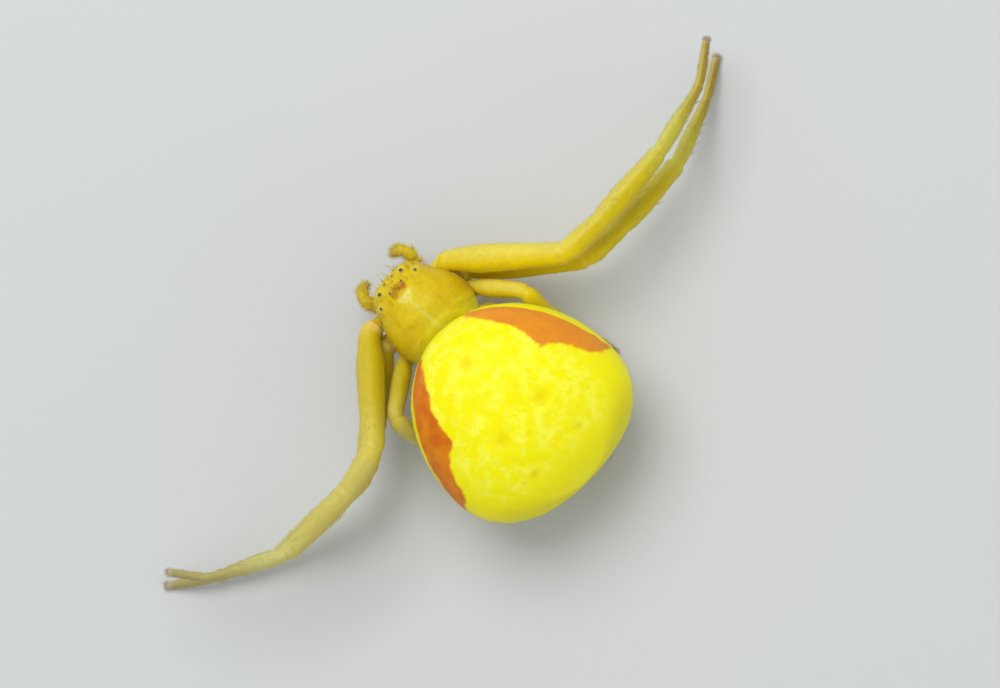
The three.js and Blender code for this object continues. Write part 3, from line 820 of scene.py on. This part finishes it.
LEGS = {  # build, size, hip, and for each side [degrees turned back, degrees lifted] of each segment
    "leg1": (LONG_LEG, 1.0, (0.62, -0.76),
             {"left": [(-14, 17), (12, 38), (48, 23), (9, 0), (-4, -5), (-32, -3), (-58, -18)],
              "right": [(10, 18), (28, 38), (48, 18), (7, 1), (-1, -4), (-13, -19), (-34, -11)]}),
    "leg2": (LONG_LEG, 0.97, (0.68, -0.2),
             {"left": [(-21, -11), (11, -5), (35, 10), (-4, -11), (-11, -23), (-31, -7), (-42, None)],
              "right": [(3, -8), (17, -14), (46, 12), (6, -4), (0, -11), (-21, -26), (-31, None)]}),
    "leg3": (SHORT_LEG, 1.0, (0.68, 0.32),
             {"left": [(2, 6), (9, 25), (37, 31), (88, -40), (110, -68), (90, -32), (92, None)],
              "right": [(8, 7), (32, 25), (57, 35), (98, -37), (84, -65), (74, -32), (84, None)]}),
    "leg4": (SHORT_LEG, 1.0, (0.56, 0.84),
             {"left": [(28, -8), (44, -14), (64, -12), (92, -17), (106, -15), (134, -8), (154, None)],
              "right": [(28, -8), (46, -14), (71, -11), (92, -15), (106, -16), (130, -8), (150, None)]}),
}
SIDES = {"left": 1, "right": -1}
print("legs:", len(LEGS) * len(SIDES), "length of a front leg:", sum(s[0] for s in LONG_LEG.values()), "mm")


# %% Leg joints and path
def leg_joints(name, side):
    build, size, hip, poses = LEGS[name]
    joints = [np.array([SIDES[side] * hip[0], hip[1], HIP_HEIGHT])]
    for (length, *_), (turn, lift) in zip(build.values(), poses[side]):
        length = length * size
        if lift is None:
            lift = math.degrees(math.asin((FOOT_HEIGHT - joints[-1][2]) / length))
        turn, lift = math.radians(turn), math.radians(lift)
        flat = np.array([SIDES[side] * math.cos(turn), math.sin(turn), 0])
        joints.append(joints[-1] + length * (flat * math.cos(lift) + np.array([0, 0, math.sin(lift)])))
    return joints


class Path:
    """A line through joints, straight between them and rounded at each, measured along its length."""

    def __init__(self, joints, bend, fine=16):
        points, marks = [joints[0]], [0]
        for before, joint, after in zip(joints, joints[1:], joints[2:]):
            near, far = np.linalg.norm(joint - before), np.linalg.norm(after - joint)
            reach = min(bend, near * 0.45, far * 0.45)
            enter, leave = joint + (before - joint) * reach / near, joint + (after - joint) * reach / far
            for t in np.linspace(0, 1, fine + 1):
                points.append((1 - t) ** 2 * enter + 2 * t * (1 - t) * joint + t * t * leave)
            marks.append(len(points) - 1 - fine // 2)
        points.append(joints[-1])
        marks.append(len(points) - 1)
        self.points = np.array(points)
        steps = np.linalg.norm(np.diff(self.points, axis=0), axis=1)
        self.run = np.concatenate([[0], np.cumsum(steps)])
        self.length = self.run[-1]
        self.joints = self.run[marks]

    def at(self, place):
        return np.stack([np.interp(place, self.run, self.points[:, i]) for i in range(3)], axis=-1)

    def way(self, place, reach=0.05):
        low, high = np.clip(place - reach, 0, self.length), np.clip(place + reach, 0, self.length)
        return unit(self.at(high) - self.at(low))

    def frame(self, place):
        """The middle, the way along, the level way across and the upright way at each place."""
        along = self.way(place)
        across = unit(np.cross([0, 0, 1], along))
        return self.at(place), along, across, np.cross(along, across)


leg_paths = {(n, s): Path(leg_joints(n, s), BEND) for n in LEGS for s in SIDES}
print("path lengths in mm:", {n + "_" + s: round(float(p.length), 2) for (n, s), p in leg_paths.items()})

# %% [markdown]
# ## Leg thickness and joints
#
# The thickness of a whole leg is one function of the distance from the hip. It is the swelling of each
# segment, times a shallow dip at each joint with a fine raised rim on both sides of it. The dip is
# deepest underneath, where soft skin shows when the joint bends. The tip closes as a blunt dome. A foot
# that stands on the floor is pressed flat where it touches.

# %% Leg thickness
RING_STEP, JOINT_STEP, JOINT_REACH = 0.075, 0.022, 0.17
LEG_SIDES = 32
WAIST_WIDTH, WAIST_DIP, DIP_BELOW = 0.07, 0.04, 0.12  # both dips as shares of the radius
RIM_BEFORE, RIM_AFTER = (-0.105, 0.035, 0.015), (0.1, 0.04, 0.01)  # place, width, height
TIP_LENGTH = 0.13
LEG_RIPPLE, LEG_OVAL, LEG_LUMP = 0.012, 0.01, 0.02
LOWEST_SKIN = 0.002  # height of the soles


def dome(place, length, rounded):
    """How much of its radius a rod keeps near its rounded end."""
    tip = np.clip((length - place) / rounded, 0, 1)
    return np.sqrt(np.clip(1 - (1 - tip) ** 2, 0.002, 1))


def swell_at(from_joint, centre, width):
    """1 at a given distance from any joint, fading on both sides."""
    return np.exp(-(((from_joint - centre) / width) ** 2)).max(0)


def rings_round(path, place, sides):
    """The middle of each ring, and the way out to each of its points."""
    middle, _, across, upright = path.frame(place)
    angle = np.linspace(0, 2 * np.pi, sides, endpoint=False)
    ring = np.cos(angle)[None, :, None] * across[:, None] + np.sin(angle)[None, :, None] * upright[:, None]
    return middle, ring, angle


def leg_thickness(build, path, place):
    """Radius at each place, the segment count plus share there, and the nearness to a joint's waist."""
    joints = path.joints
    i = np.clip(np.searchsorted(joints, place, side="right") - 1, 0, len(joints) - 2)
    share = (place - joints[i]) / (joints[i + 1] - joints[i])
    near, wide, far = np.array([s[1:] for s in build.values()])[i].T
    swelling = near + (wide - near) * step(0, SWELL, share)
    radius = np.where(share < SWELL, swelling, wide + (far - wide) * step(SWELL, 1, share))
    from_joint = place[None] - joints[1:-1][:, None]
    waist = swell_at(from_joint, 0, WAIST_WIDTH)
    rims = [height * swell_at(from_joint, at, width) for at, width, height in (RIM_BEFORE, RIM_AFTER)]
    radius = radius * (1 - WAIST_DIP * waist + rims[0] + rims[1])
    return radius * dome(place, path.length, TIP_LENGTH), i + share, waist


def leg_places(path):
    """Where the rings stand: evenly, and closer together near each joint."""
    places = list(np.arange(0, path.length - 0.14, RING_STEP))
    for joint in path.joints[1:-1]:
        places += list(joint + np.arange(-JOINT_REACH, JOINT_REACH, JOINT_STEP))
    places += list(path.length - TIP_LENGTH * (1 - np.sin(np.linspace(0, np.pi / 2, 10))))
    places = np.unique(np.round(places, 4))
    return places[np.concatenate([[True], np.diff(places) > 0.008])]


def leg_grid(name, side):
    build, path = LEGS[name][0], leg_paths[name, side]
    place = leg_places(path)
    radius, segment, waist = leg_thickness(build, path, place)
    middle, ring, angle = rings_round(path, place, LEG_SIDES)
    below = step(0.2, -0.9, np.sin(angle))
    wave = 1 + LEG_RIPPLE * np.cos(5 * angle + 0.7) + LEG_OVAL * np.cos(2 * angle)
    wave = wave - DIP_BELOW * waist[:, None] * below
    lumps = 1 + LEG_LUMP * bumps(middle[:, None] + ring * 0.3, 0.5, 8)
    grid = middle[:, None] + ring * (radius[:, None] * wave * lumps)[..., None]
    grid[..., 2] = np.maximum(grid[..., 2], LOWEST_SKIN)
    return grid, ring, segment, waist


leg_grids = {key: leg_grid(*key) for key in leg_paths}
print("rings on each leg:", {n + "_" + s: g[0].shape[0] for (n, s), g in leg_grids.items()})

# %% [markdown]
# ## Colour of the legs
#
# Legs are yellow at the body and fade to a dull straw at the feet, with a pinkish tip. The front edge of
# each is paler: a pale stripe with a painted highlight on it, stronger on the right legs. The rear edge,
# which faces down and back, is painted a deeper amber as shade. The left legs are a shade paler than the
# right ones, most of all at their bases and shins. The skin at the joints is a touch lighter. Stops along
# the leg give the base colour, and the way each point faces gives the painted highlight and shade.

# %% Colour of the legs
LEG_TONES = {
    "right": [(0, (246, 230, 92)), (1, (238, 218, 60)), (2, (230, 204, 8)), (2.6, (234, 208, 8)),
              (3, (226, 202, 20)), (3.5, (210, 189, 10)), (4.6, (204, 185, 12)),
              (5.2, (194, 188, 66)), (6, (160, 138, 42)),
              (6.8, (150, 126, 58)), (7, (176, 150, 122))],
    "left": [(0, (212, 186, 14)), (1, (218, 192, 40)), (1.5, (236, 208, 110)), (1.9, (226, 200, 70)),
             (2.1, (204, 180, 12)), (2.5, (199, 177, 18)), (3, (206, 190, 76)),
             (3.4, (200, 188, 94)), (4.6, (197, 187, 98)), (5.2, (194, 190, 122)), (6, (156, 152, 98)),
             (6.8, (156, 144, 104)), (7, (198, 178, 166))],
}
FRONT_EDGE_WAY = unit([0, -0.75, 0.66])
# The way of the side that is painted darker as shade.
SHADED_EDGE_WAY = unit([0, 0.8, -0.6])


def leg_paint(side, ring, segment, waist):
    stops = [(place, colour(*tone)) for place, tone in LEG_TONES[side]]
    base = through(stops, np.clip(segment, 0, 7))[:, None] * np.ones((1, ring.shape[1], 1))
    # Painted highlight: the front edge is made paler, a pale stripe with reflected light painted on it,
    # stronger on the right legs.
    stripe_and_highlight = step(0.45, 0.98, ring @ FRONT_EDGE_WAY) * step(1.5, 2.4, segment)[:, None]
    base = mix(base, PALE_STRIPE_HIGHLIGHT, stripe_and_highlight * (0.4 if side == "right" else 0.15))
    # Painted shade: the side facing down and back is darkened towards amber.
    base = mix(base, AMBER, step(0.2, 0.95, ring @ SHADED_EDGE_WAY) * 0.25)
    return mix(base, CREAM, waist[:, None] * np.ones(ring.shape[:2]) * 0.08)


leg_colours = {}
for (name, side), (grid, ring, segment, waist) in leg_grids.items():
    leg_colours[name, side] = leg_paint(side, ring, segment, waist)
    nodes = [f"{name}_{side}_{piece}" for piece in ("coxa", "femur", "tibia", "tarsus")]
    painted_piece(f"{name}_{side}_skin", [grid], [leg_colours[name, side]], LEG_SHELL, nodes)

# %% [markdown]
# ## Small rods: feelers, jaws, spinnerets, waist
#
# The same idea in small serves every other limb: a smooth line through a few places, and a radius at
# each. The feelers have joints like legs. The jaws are stout, and each ends in a short curved fang that
# folds in towards the middle.


# %% Small rods
ROD_WAIST_WIDTH = 0.05


def rod_grid(joints, radii, sides=24, step_mm=0.03, bend=0.12, waists=0.14, round_end=0.1):
    """Rings of a tapering rod through joints, with a fine waist at each joint between."""
    path = Path([np.array(j, float) for j in joints], bend)
    place = np.concatenate([np.arange(0, path.length - round_end, step_mm),
                            path.length - round_end * (1 - np.sin(np.linspace(0, np.pi / 2, 8)))])
    radius = through(list(zip(path.joints, radii)), place)
    if waists and len(joints) > 2:
        from_joint = place[None] - path.joints[1:-1][:, None]
        radius = radius * (1 - waists * swell_at(from_joint, 0, ROD_WAIST_WIDTH))
    radius = radius * dome(place, path.length, round_end)
    middle, ring, _ = rings_round(path, place, sides)
    return middle[:, None] + ring * radius[:, None, None], place / path.length


def mirrored(joints, side):
    return [(x * SIDES[side], y, z) for x, y, z in joints]


PALP_JOINTS = [(0.64, -1.16, 1.44), (0.92, -1.4, 1.66), (0.92, -1.72, 1.78), (0.74, -1.97, 1.6),
               (0.56, -2.05, 1.16)]
PALP_RADII = [0.15, 0.19, 0.185, 0.165, 0.11]
JAW_JOINTS = [(0.3, -1.3, 2.05), (0.3, -1.42, 1.55), (0.25, -1.48, 1.02)]
JAW_RADII = [0.24, 0.25, 0.17]
FANG_JOINTS = [(0.25, -1.5, 1.1), (0.24, -1.52, 0.95), (0.16, -1.47, 0.86), (0.07, -1.42, 0.9)]
FANG_RADII = [0.075, 0.06, 0.04, 0.01]
PALP_BASE, PALP_TIP = colour(218, 196, 14), colour(198, 172, 30)
JAW_AMBER, FANG_BROWN = colour(196, 145, 42), colour(92, 44, 16)
palp_grids, palp_colours = {}, {}
for side in SIDES:
    grid, share = rod_grid(mirrored(PALP_JOINTS, side), PALP_RADII, waists=0.2)
    tone = mix(PALP_BASE, PALP_TIP, share)[:, None] * np.ones((1, grid.shape[1], 1))
    palp_grids[side], palp_colours[side] = grid, tone
    painted_piece(f"palp_{side}_skin", [grid], [tone], LEG_SHELL, [f"palp_{side}"])
    jaw, _ = rod_grid(mirrored(JAW_JOINTS, side), JAW_RADII, waists=0, round_end=0.16)
    fang, _ = rod_grid(mirrored(FANG_JOINTS, side), FANG_RADII, sides=14, waists=0, round_end=0.03)
    painted_piece(f"chelicera_{side}_shell", [jaw, fang], [JAW_AMBER, FANG_BROWN], JAW_SHELL,
                  [f"chelicera_{side}"])

# %% [markdown]
# ## Underside: sternum, mouth plates, waist and spinnerets
#
# What nobody sees from above still has to be right from below. The sternum is a shield between the
# hips. In front of it lie the lip and two mouth plates. The waist is a short soft tube into the abdomen,
# and six little cones at the tail spin the silk.

# %% Sternum, mouth plates and waist
STERNUM_FROM, STERNUM_TO, STERNUM_HALF_WIDTH, STERNUM_TOP, STERNUM_BOTTOM = -0.92, 1.12, 0.6, 1.78, 1.1
PLATE_PALE, PLATE_EDGE = colour(222, 204, 96), colour(196, 160, 30)
MOUTH_TAN, WAIST_STRAW = colour(206, 172, 60), colour(206, 184, 90)
MOUTH_JOINTS, MOUTH_RADII = [(0.42, -0.98, 1.42), (0.26, -1.14, 1.2), (0.13, -1.26, 1.14)], [0.15, 0.16, 0.1]
LIP_AT, LIP_RADIUS, LIP_WAY, LIP_STRETCH = (0, -1.0, 1.22), 0.15, (0, -1, -0.2), 1.3
WAIST_JOINTS, WAIST_RADII = [(0, 1.22, 1.5), (0.06, 1.8, 1.78), (0.16, 2.6, 2.2)], [0.27, 0.26, 0.3]


def sternum_grid(rings=48, sides=64):
    turn = np.linspace(0.02, np.pi - 0.02, rings)[:, None]
    angle = np.linspace(0, 2 * np.pi, sides, endpoint=False)[None]
    y = (STERNUM_FROM + STERNUM_TO) / 2 - (STERNUM_TO - STERNUM_FROM) / 2 * np.cos(turn)
    width = STERNUM_HALF_WIDTH * np.sin(turn) ** 0.7 * (1 - 0.08 * np.cos(turn))
    width = width * (1 + 0.04 * np.cos(turn * 9))
    height = (STERNUM_TOP - STERNUM_BOTTOM) / 2 * np.sin(turn) ** 0.3 * np.cos(angle)
    x = width * np.sin(angle)
    return np.stack([x, y * np.ones_like(x), (STERNUM_TOP + STERNUM_BOTTOM) / 2 + height], axis=-1)


plate = sternum_grid()
plate_paint = mix(PLATE_PALE, PLATE_EDGE, step(0.35, 0.6, np.abs(plate[..., 0])))
painted_piece("sternum_shell", [plate], [plate_paint], SHELL, ["sternum"])
mouth = [rod_grid(mirrored(MOUTH_JOINTS, side), MOUTH_RADII, waists=0)[0] for side in SIDES]
mouth.append(ball_grid(LIP_AT, LIP_RADIUS, LIP_WAY, LIP_STRETCH))
painted_piece("mouth_plates", mouth, [MOUTH_TAN] * len(mouth), SHELL)
waist_grid, _ = rod_grid(WAIST_JOINTS, WAIST_RADII, waists=0)
painted_piece("pedicel_skin", [waist_grid], [WAIST_STRAW], LEG_SHELL, ["pedicel"])

# %% Spinnerets
SPIN_AT, SPIN_BELOW, SPIN_RING, SPIN_LENGTH, SPIN_COUNT = 0.86, 0.9, 0.2, 0.6, 6
SPIN_STATIONS, SPIN_RADII = (-0.4, 0.35, 0.7, 1.0), [0.2, 0.19, 0.14, 0.07]
SPIN_TAN = colour(204, 168, 62)


def spinneret_grids():
    top, bottom = (abdomen_points(np.array(SPIN_AT), np.array(a)) for a in (0.0, np.pi))
    base = bottom + (top - bottom) * (0.5 - SPIN_BELOW / 2)
    cos, sin = math.cos(ABDOMEN_TURN), math.sin(ABDOMEN_TURN)
    out = unit([0.94 * sin, 0.94 * cos, -0.34])
    across = unit(np.cross([0, 0, 1], out))
    upright = np.cross(out, across)
    cones = []
    for i in range(SPIN_COUNT):
        angle = 2 * math.pi * (i + 0.5) / SPIN_COUNT
        aside = SPIN_RING * (across * math.cos(angle) + upright * math.sin(angle))
        joints = [base + aside * (1 - 0.4 * s) + out * s * SPIN_LENGTH for s in SPIN_STATIONS]
        cones.append(rod_grid(joints, SPIN_RADII, bend=0.05, round_end=0.06)[0])
    return cones


painted_piece("spinnerets_skin", spinneret_grids(), [SPIN_TAN] * SPIN_COUNT, JAW_SHELL,
              ["spinnerets"])

# %% [markdown]
# ## Claws
#
# Each foot ends in two small hooked brown claws with a pad of fine hair between. A claw is one more small
# rod, curved down, made twice per foot.


# %% Claws
CLAW_STATIONS = ((0, 0), (0.06, 0.015), (0.11, -0.015), (0.13, -0.07))  # ahead, up
CLAW_RADII = [0.024, 0.02, 0.014, 0.004]
CLAW_INSET, CLAW_ASIDE, CLAW_RAISED, CLAW_LOWEST = 0.03, 0.04, 0.02, 0.003
CLAW_TAN = colour(158, 118, 72)


def claw_grids(path):
    tip, along, across, upright = (part[0] for part in path.frame(np.array([path.length - CLAW_INSET])))
    rod = {"sides": 10, "step_mm": 0.01, "bend": 0.02, "waists": 0, "round_end": 0.01}
    claws = []
    for aside in (-1, 1):
        root = tip + across * aside * CLAW_ASIDE + upright * CLAW_RAISED
        joints = [root + along * ahead + upright * up for ahead, up in CLAW_STATIONS]
        claws.append(rod_grid(joints, CLAW_RADII, **rod)[0])
    for grid in claws:
        grid[..., 2] = np.maximum(grid[..., 2], CLAW_LOWEST)
    return claws


CLAW = painted_shell("claw", 0.25, 0.1, 0.02, 0.001)
claws = [grid for path in leg_paths.values() for grid in claw_grids(path)]
painted_piece("claws", claws, [CLAW_TAN] * len(claws), CLAW)

# %% [markdown]
# ## Hair
#
# Hair systems look easy but leave nothing solid behind, so each hair is modelled: a thin curved spike
# with three sides, sunk a little into the skin. One function plants any number of them at once. It picks
# places on a skin's grid evenly by area, with a seeded draw, takes the way out and the way along from
# the grid, and bends every spike towards the tail or the foot. A hair starts from the colour of the skin
# at its root and is then made a little paler or deeper. Its flat map is a small patch at that root.


# %% Hair
ROOT_DEPTH, SWAY = 0.02, 0.25
LENGTHS = (0.75, 0.5)  # shortest share of the full length, and the spread above it
HAIR_SIDES = 3
PATCH = 0.003  # size of a hair's patch on the flat map


def scatter(grid, paint, count, seed, keep=None):
    """Random roots on a grid of rings, even by area, with the colour of the skin at each."""
    draw = np.random.default_rng(seed)
    rings, sides = grid.shape[:2]
    after = np.roll(grid, -1, axis=1)
    area = np.linalg.norm(np.cross(grid[1:] - grid[:-1], (after - grid)[:-1]), axis=-1)
    if keep is not None:
        area = area * keep[:-1]
    chance = (area / area.sum()).ravel()
    cell = draw.choice(len(chance), count, p=chance)
    r, s = np.unravel_index(cell, area.shape)
    u, v = draw.random(count), draw.random(count)
    t = (s + 1) % sides
    place = (grid[r, s] * ((1 - u) * (1 - v))[:, None] + grid[r + 1, s] * (u * (1 - v))[:, None]
             + grid[r, t] * ((1 - u) * v)[:, None] + grid[r + 1, t] * (u * v)[:, None])
    along = unit(grid[r + 1, s] - grid[r, s])
    out = unit(np.cross(grid[r, t] - grid[r, s], along))
    unwrap = np.stack([(s + v) / sides, (r + u) / rings], axis=-1)
    return (place, out, along, unwrap), paint[r, s], draw


def hair_faces(rows):
    """The faces of one hair: four-sided ones between its rows, three to its tip and one under its root."""
    last = (rows - 1) * HAIR_SIDES
    edges = [(i, (i + 1) % HAIR_SIDES) for i in range(HAIR_SIDES)]
    faces = []
    for low in range(0, last, HAIR_SIDES):
        high = low + HAIR_SIDES
        faces += [(low + i, low + after, high + after, high + i) for i, after in edges]
    return faces + [(last + i, last + after, rows * HAIR_SIDES) for i, after in edges] + [(2, 1, 0)]


def hair_object(name, roots, shape, tone, draw, rows=3):
    """One object of many spikes. Their lean runs from 0, standing, to 1, lying. Their curl bends the tip."""
    place, out, along, unwrap = roots
    length, width, lean, curl = shape
    count = len(place)
    length = length * (LENGTHS[0] + LENGTHS[1] * draw.random(count))
    lie = unit(along + np.cross(out, along) * draw.normal(0, SWAY, count)[:, None])
    across = unit(np.cross(lie, out))
    turns = [2 * math.pi * k / HAIR_SIDES for k in range(HAIR_SIDES)]
    rings = []
    for share in [row / rows for row in range(rows + 1)]:
        way = unit(out * (1 - lean - curl * share) + lie * (lean + curl * share))
        middle = place + way * (length * share)[:, None] - out * (ROOT_DEPTH * (1 - share))
        other = np.cross(way, across)
        half = width * 0.5 * (1 - share) ** 0.7
        edge = [middle + half * (across * math.cos(a) + other * math.sin(a)) for a in turns]
        rings.append(np.stack(edge, axis=1) if share < 1 else middle[:, None])
    points = np.concatenate(rings, axis=1)
    per = points.shape[1]
    faces = [tuple(i * per + p for p in face) for i in range(count) for face in hair_faces(rows)]
    made = new_object(name, points.reshape(-1, 3), faces)
    write_field(made, "paint", np.repeat(tone, per, axis=0))
    rows_and_sides = [divmod(k, HAIR_SIDES) for k in range(per)]
    patch = np.array([[PATCH * side / 2, PATCH * row / rows] for row, side in rows_and_sides])
    corners = np.repeat(unwrap, per, axis=0) * 0.99 + np.tile(patch, (count, 1))
    loops = np.zeros(len(made.data.loops), int)
    made.data.loops.foreach_get("vertex_index", loops)
    made.data.uv_layers.new(name="OFBake").data.foreach_set("uv", corners[loops].ravel().astype(np.float32))
    return made


def plant(name, skin, count, seed, shape, blend, keep=None, way=1):
    """Hair all over a skin, lying towards its last ring, or towards its first where way is -1."""
    (place, out, along, unwrap), tone, draw = scatter(*skin, count, seed, keep)
    tone = mix(tone, blend[0], np.full(count, blend[1]))
    dress(hair_object(name, (place, out, way * along, unwrap), shape, tone, draw), HAIR)


HAIR = painted_shell("hair", 0.45, 0.1, 0.05, 0.001, speckle=0.1)
print("hair material:", HAIR.name)

# %% [markdown]
# ## Where hair grows
#
# Short silky hair lies back over the abdomen. Legs are downy, most of all near the feet, and the front
# two pairs carry stout spines underneath for holding prey. The head has a few stiff bristles round the
# eyes. Counts are for a natural spread, not for cover: her skin shows everywhere between.

# %% Hair of the abdomen and fore-body
HAIR_SHAPES = {  # length, width, lean and curl
    "silk": (0.13, 0.009, 0.6, 0.22), "short": (0.14, 0.014, 0.45, 0.2), "bristle": (0.34, 0.024, 0.3, 0.25),
    "leg": (0.15, 0.012, 0.55, 0.25), "palp": (0.19, 0.013, 0.42, 0.25),
    "spine": (0.36, 0.045, 0.5, 0.2), "tuft": (0.13, 0.014, 0.6, 0.1),
}
PALE_HAIR, SPINE_TAN, TUFT_PINK = colour(238, 226, 150), colour(176, 132, 52), colour(206, 190, 176)
head_cover = (on_top > 0.3) * (hills < 0.05)
bristle_area = head_cover * step(-0.6, -0.9, carapace_y)
carapace_skin = (carapace_grid, carapace_colours)
plant("abdomen_hair", (abdomen_grid, abdomen_paint), 5200, 11, HAIR_SHAPES["silk"],
      (PALE_HAIR, 0.14), keep=step(0.004, 0.05, abdomen_share))
plant("carapace_hair", carapace_skin, 420, 12, HAIR_SHAPES["short"],
      (PALE_HAIR, 0.5), keep=head_cover, way=-1)
plant("head_bristles", carapace_skin, 34, 13, HAIR_SHAPES["bristle"],
      (AMBER, 0.6), keep=bristle_area, way=-1)

# %% Down of the legs and feelers
LONG_LEG_HAIRS, SHORT_LEG_HAIRS, PALP_HAIRS = 1500, 700, 420
for number, ((name, side), (grid, _, segment, waist)) in enumerate(leg_grids.items()):
    density = (0.35 + step(3, 6.5, segment) * 1.2)[:, None] * np.ones(grid.shape[:2])
    density = density * (waist < 0.3)[:, None] * step(0.06, 0.12, grid[..., 2])
    density = density * step(0.6, 1.2, segment)[:, None]
    count = LONG_LEG_HAIRS if LEGS[name][0] is LONG_LEG else SHORT_LEG_HAIRS
    plant(f"{name}_{side}_down", (grid, leg_colours[name, side]), count, 20 + number,
          HAIR_SHAPES["leg"], (PALE_HAIR, 0.4), keep=density)
for number, side in enumerate(SIDES):
    plant(f"palp_{side}_down", (palp_grids[side], palp_colours[side]), PALP_HAIRS, 40 + number,
          HAIR_SHAPES["palp"], (PALE_HAIR, 0.4))


# %% Spines and foot tufts
SPINE_SEGMENTS = ((4, 4), (5, 6))  # joint that a segment starts from, and spines in a row
SPINE_ANGLES = (238, 302)  # degrees round the leg, on both sides of its underside
SPINES_FROM, SPINES_OVER = 0.2, 0.72  # shares of the segment
TUFT_HAIRS, TUFT_FROM, TUFT_OVER, TUFT_LOWEST = 90, 0.02, 0.1, 0.05


def leg_roots(name, side, places, angle):
    """Roots on a leg's skin at given distances from the hip and at one angle round it."""
    path, build = leg_paths[name, side], LEGS[name][0]
    places = np.asarray(places, float)
    radius, *_ = leg_thickness(build, path, places)
    middle, along, across, upright = path.frame(places)
    out = across * math.cos(angle) + upright * math.sin(angle)
    unwrap = np.stack([np.full(len(places), angle / (2 * math.pi) % 1), places / path.length], axis=-1)
    return middle + out * (radius * 0.97)[:, None], out, along, unwrap


def joined(rows):
    """Many sets of roots as one."""
    return [np.concatenate(part) for part in zip(*rows)]


for number, (name, side) in enumerate(leg_paths):
    path, rows = leg_paths[name, side], []
    if LEGS[name][0] is LONG_LEG:
        for joint, count in SPINE_SEGMENTS:
            start, end = path.joints[joint], path.joints[joint + 1]
            stations = start + (end - start) * (SPINES_FROM + SPINES_OVER * np.arange(count) / (count - 1))
            rows += [leg_roots(name, side, stations, math.radians(a)) for a in SPINE_ANGLES]
        roots = joined(rows)
        tone, draw = np.ones((len(roots[0]), 1)) * SPINE_TAN, np.random.default_rng(60 + number)
        spines = hair_object(f"{name}_{side}_spines", roots, HAIR_SHAPES["spine"], tone, draw, rows=5)
        dress(spines, HAIR)
    draw = np.random.default_rng(80 + number)
    angles = draw.random(TUFT_HAIRS) * 2 * math.pi
    rows = [leg_roots(name, side, [path.length - TUFT_FROM - TUFT_OVER * draw.random()], a) for a in angles]
    roots = joined(rows)
    high = roots[0][:, 2] > TUFT_LOWEST
    roots = [part[high] for part in roots]
    tone = np.ones((len(roots[0]), 1)) * TUFT_PINK
    dress(hair_object(f"{name}_{side}_tuft", roots, HAIR_SHAPES["tuft"], tone, draw), HAIR)
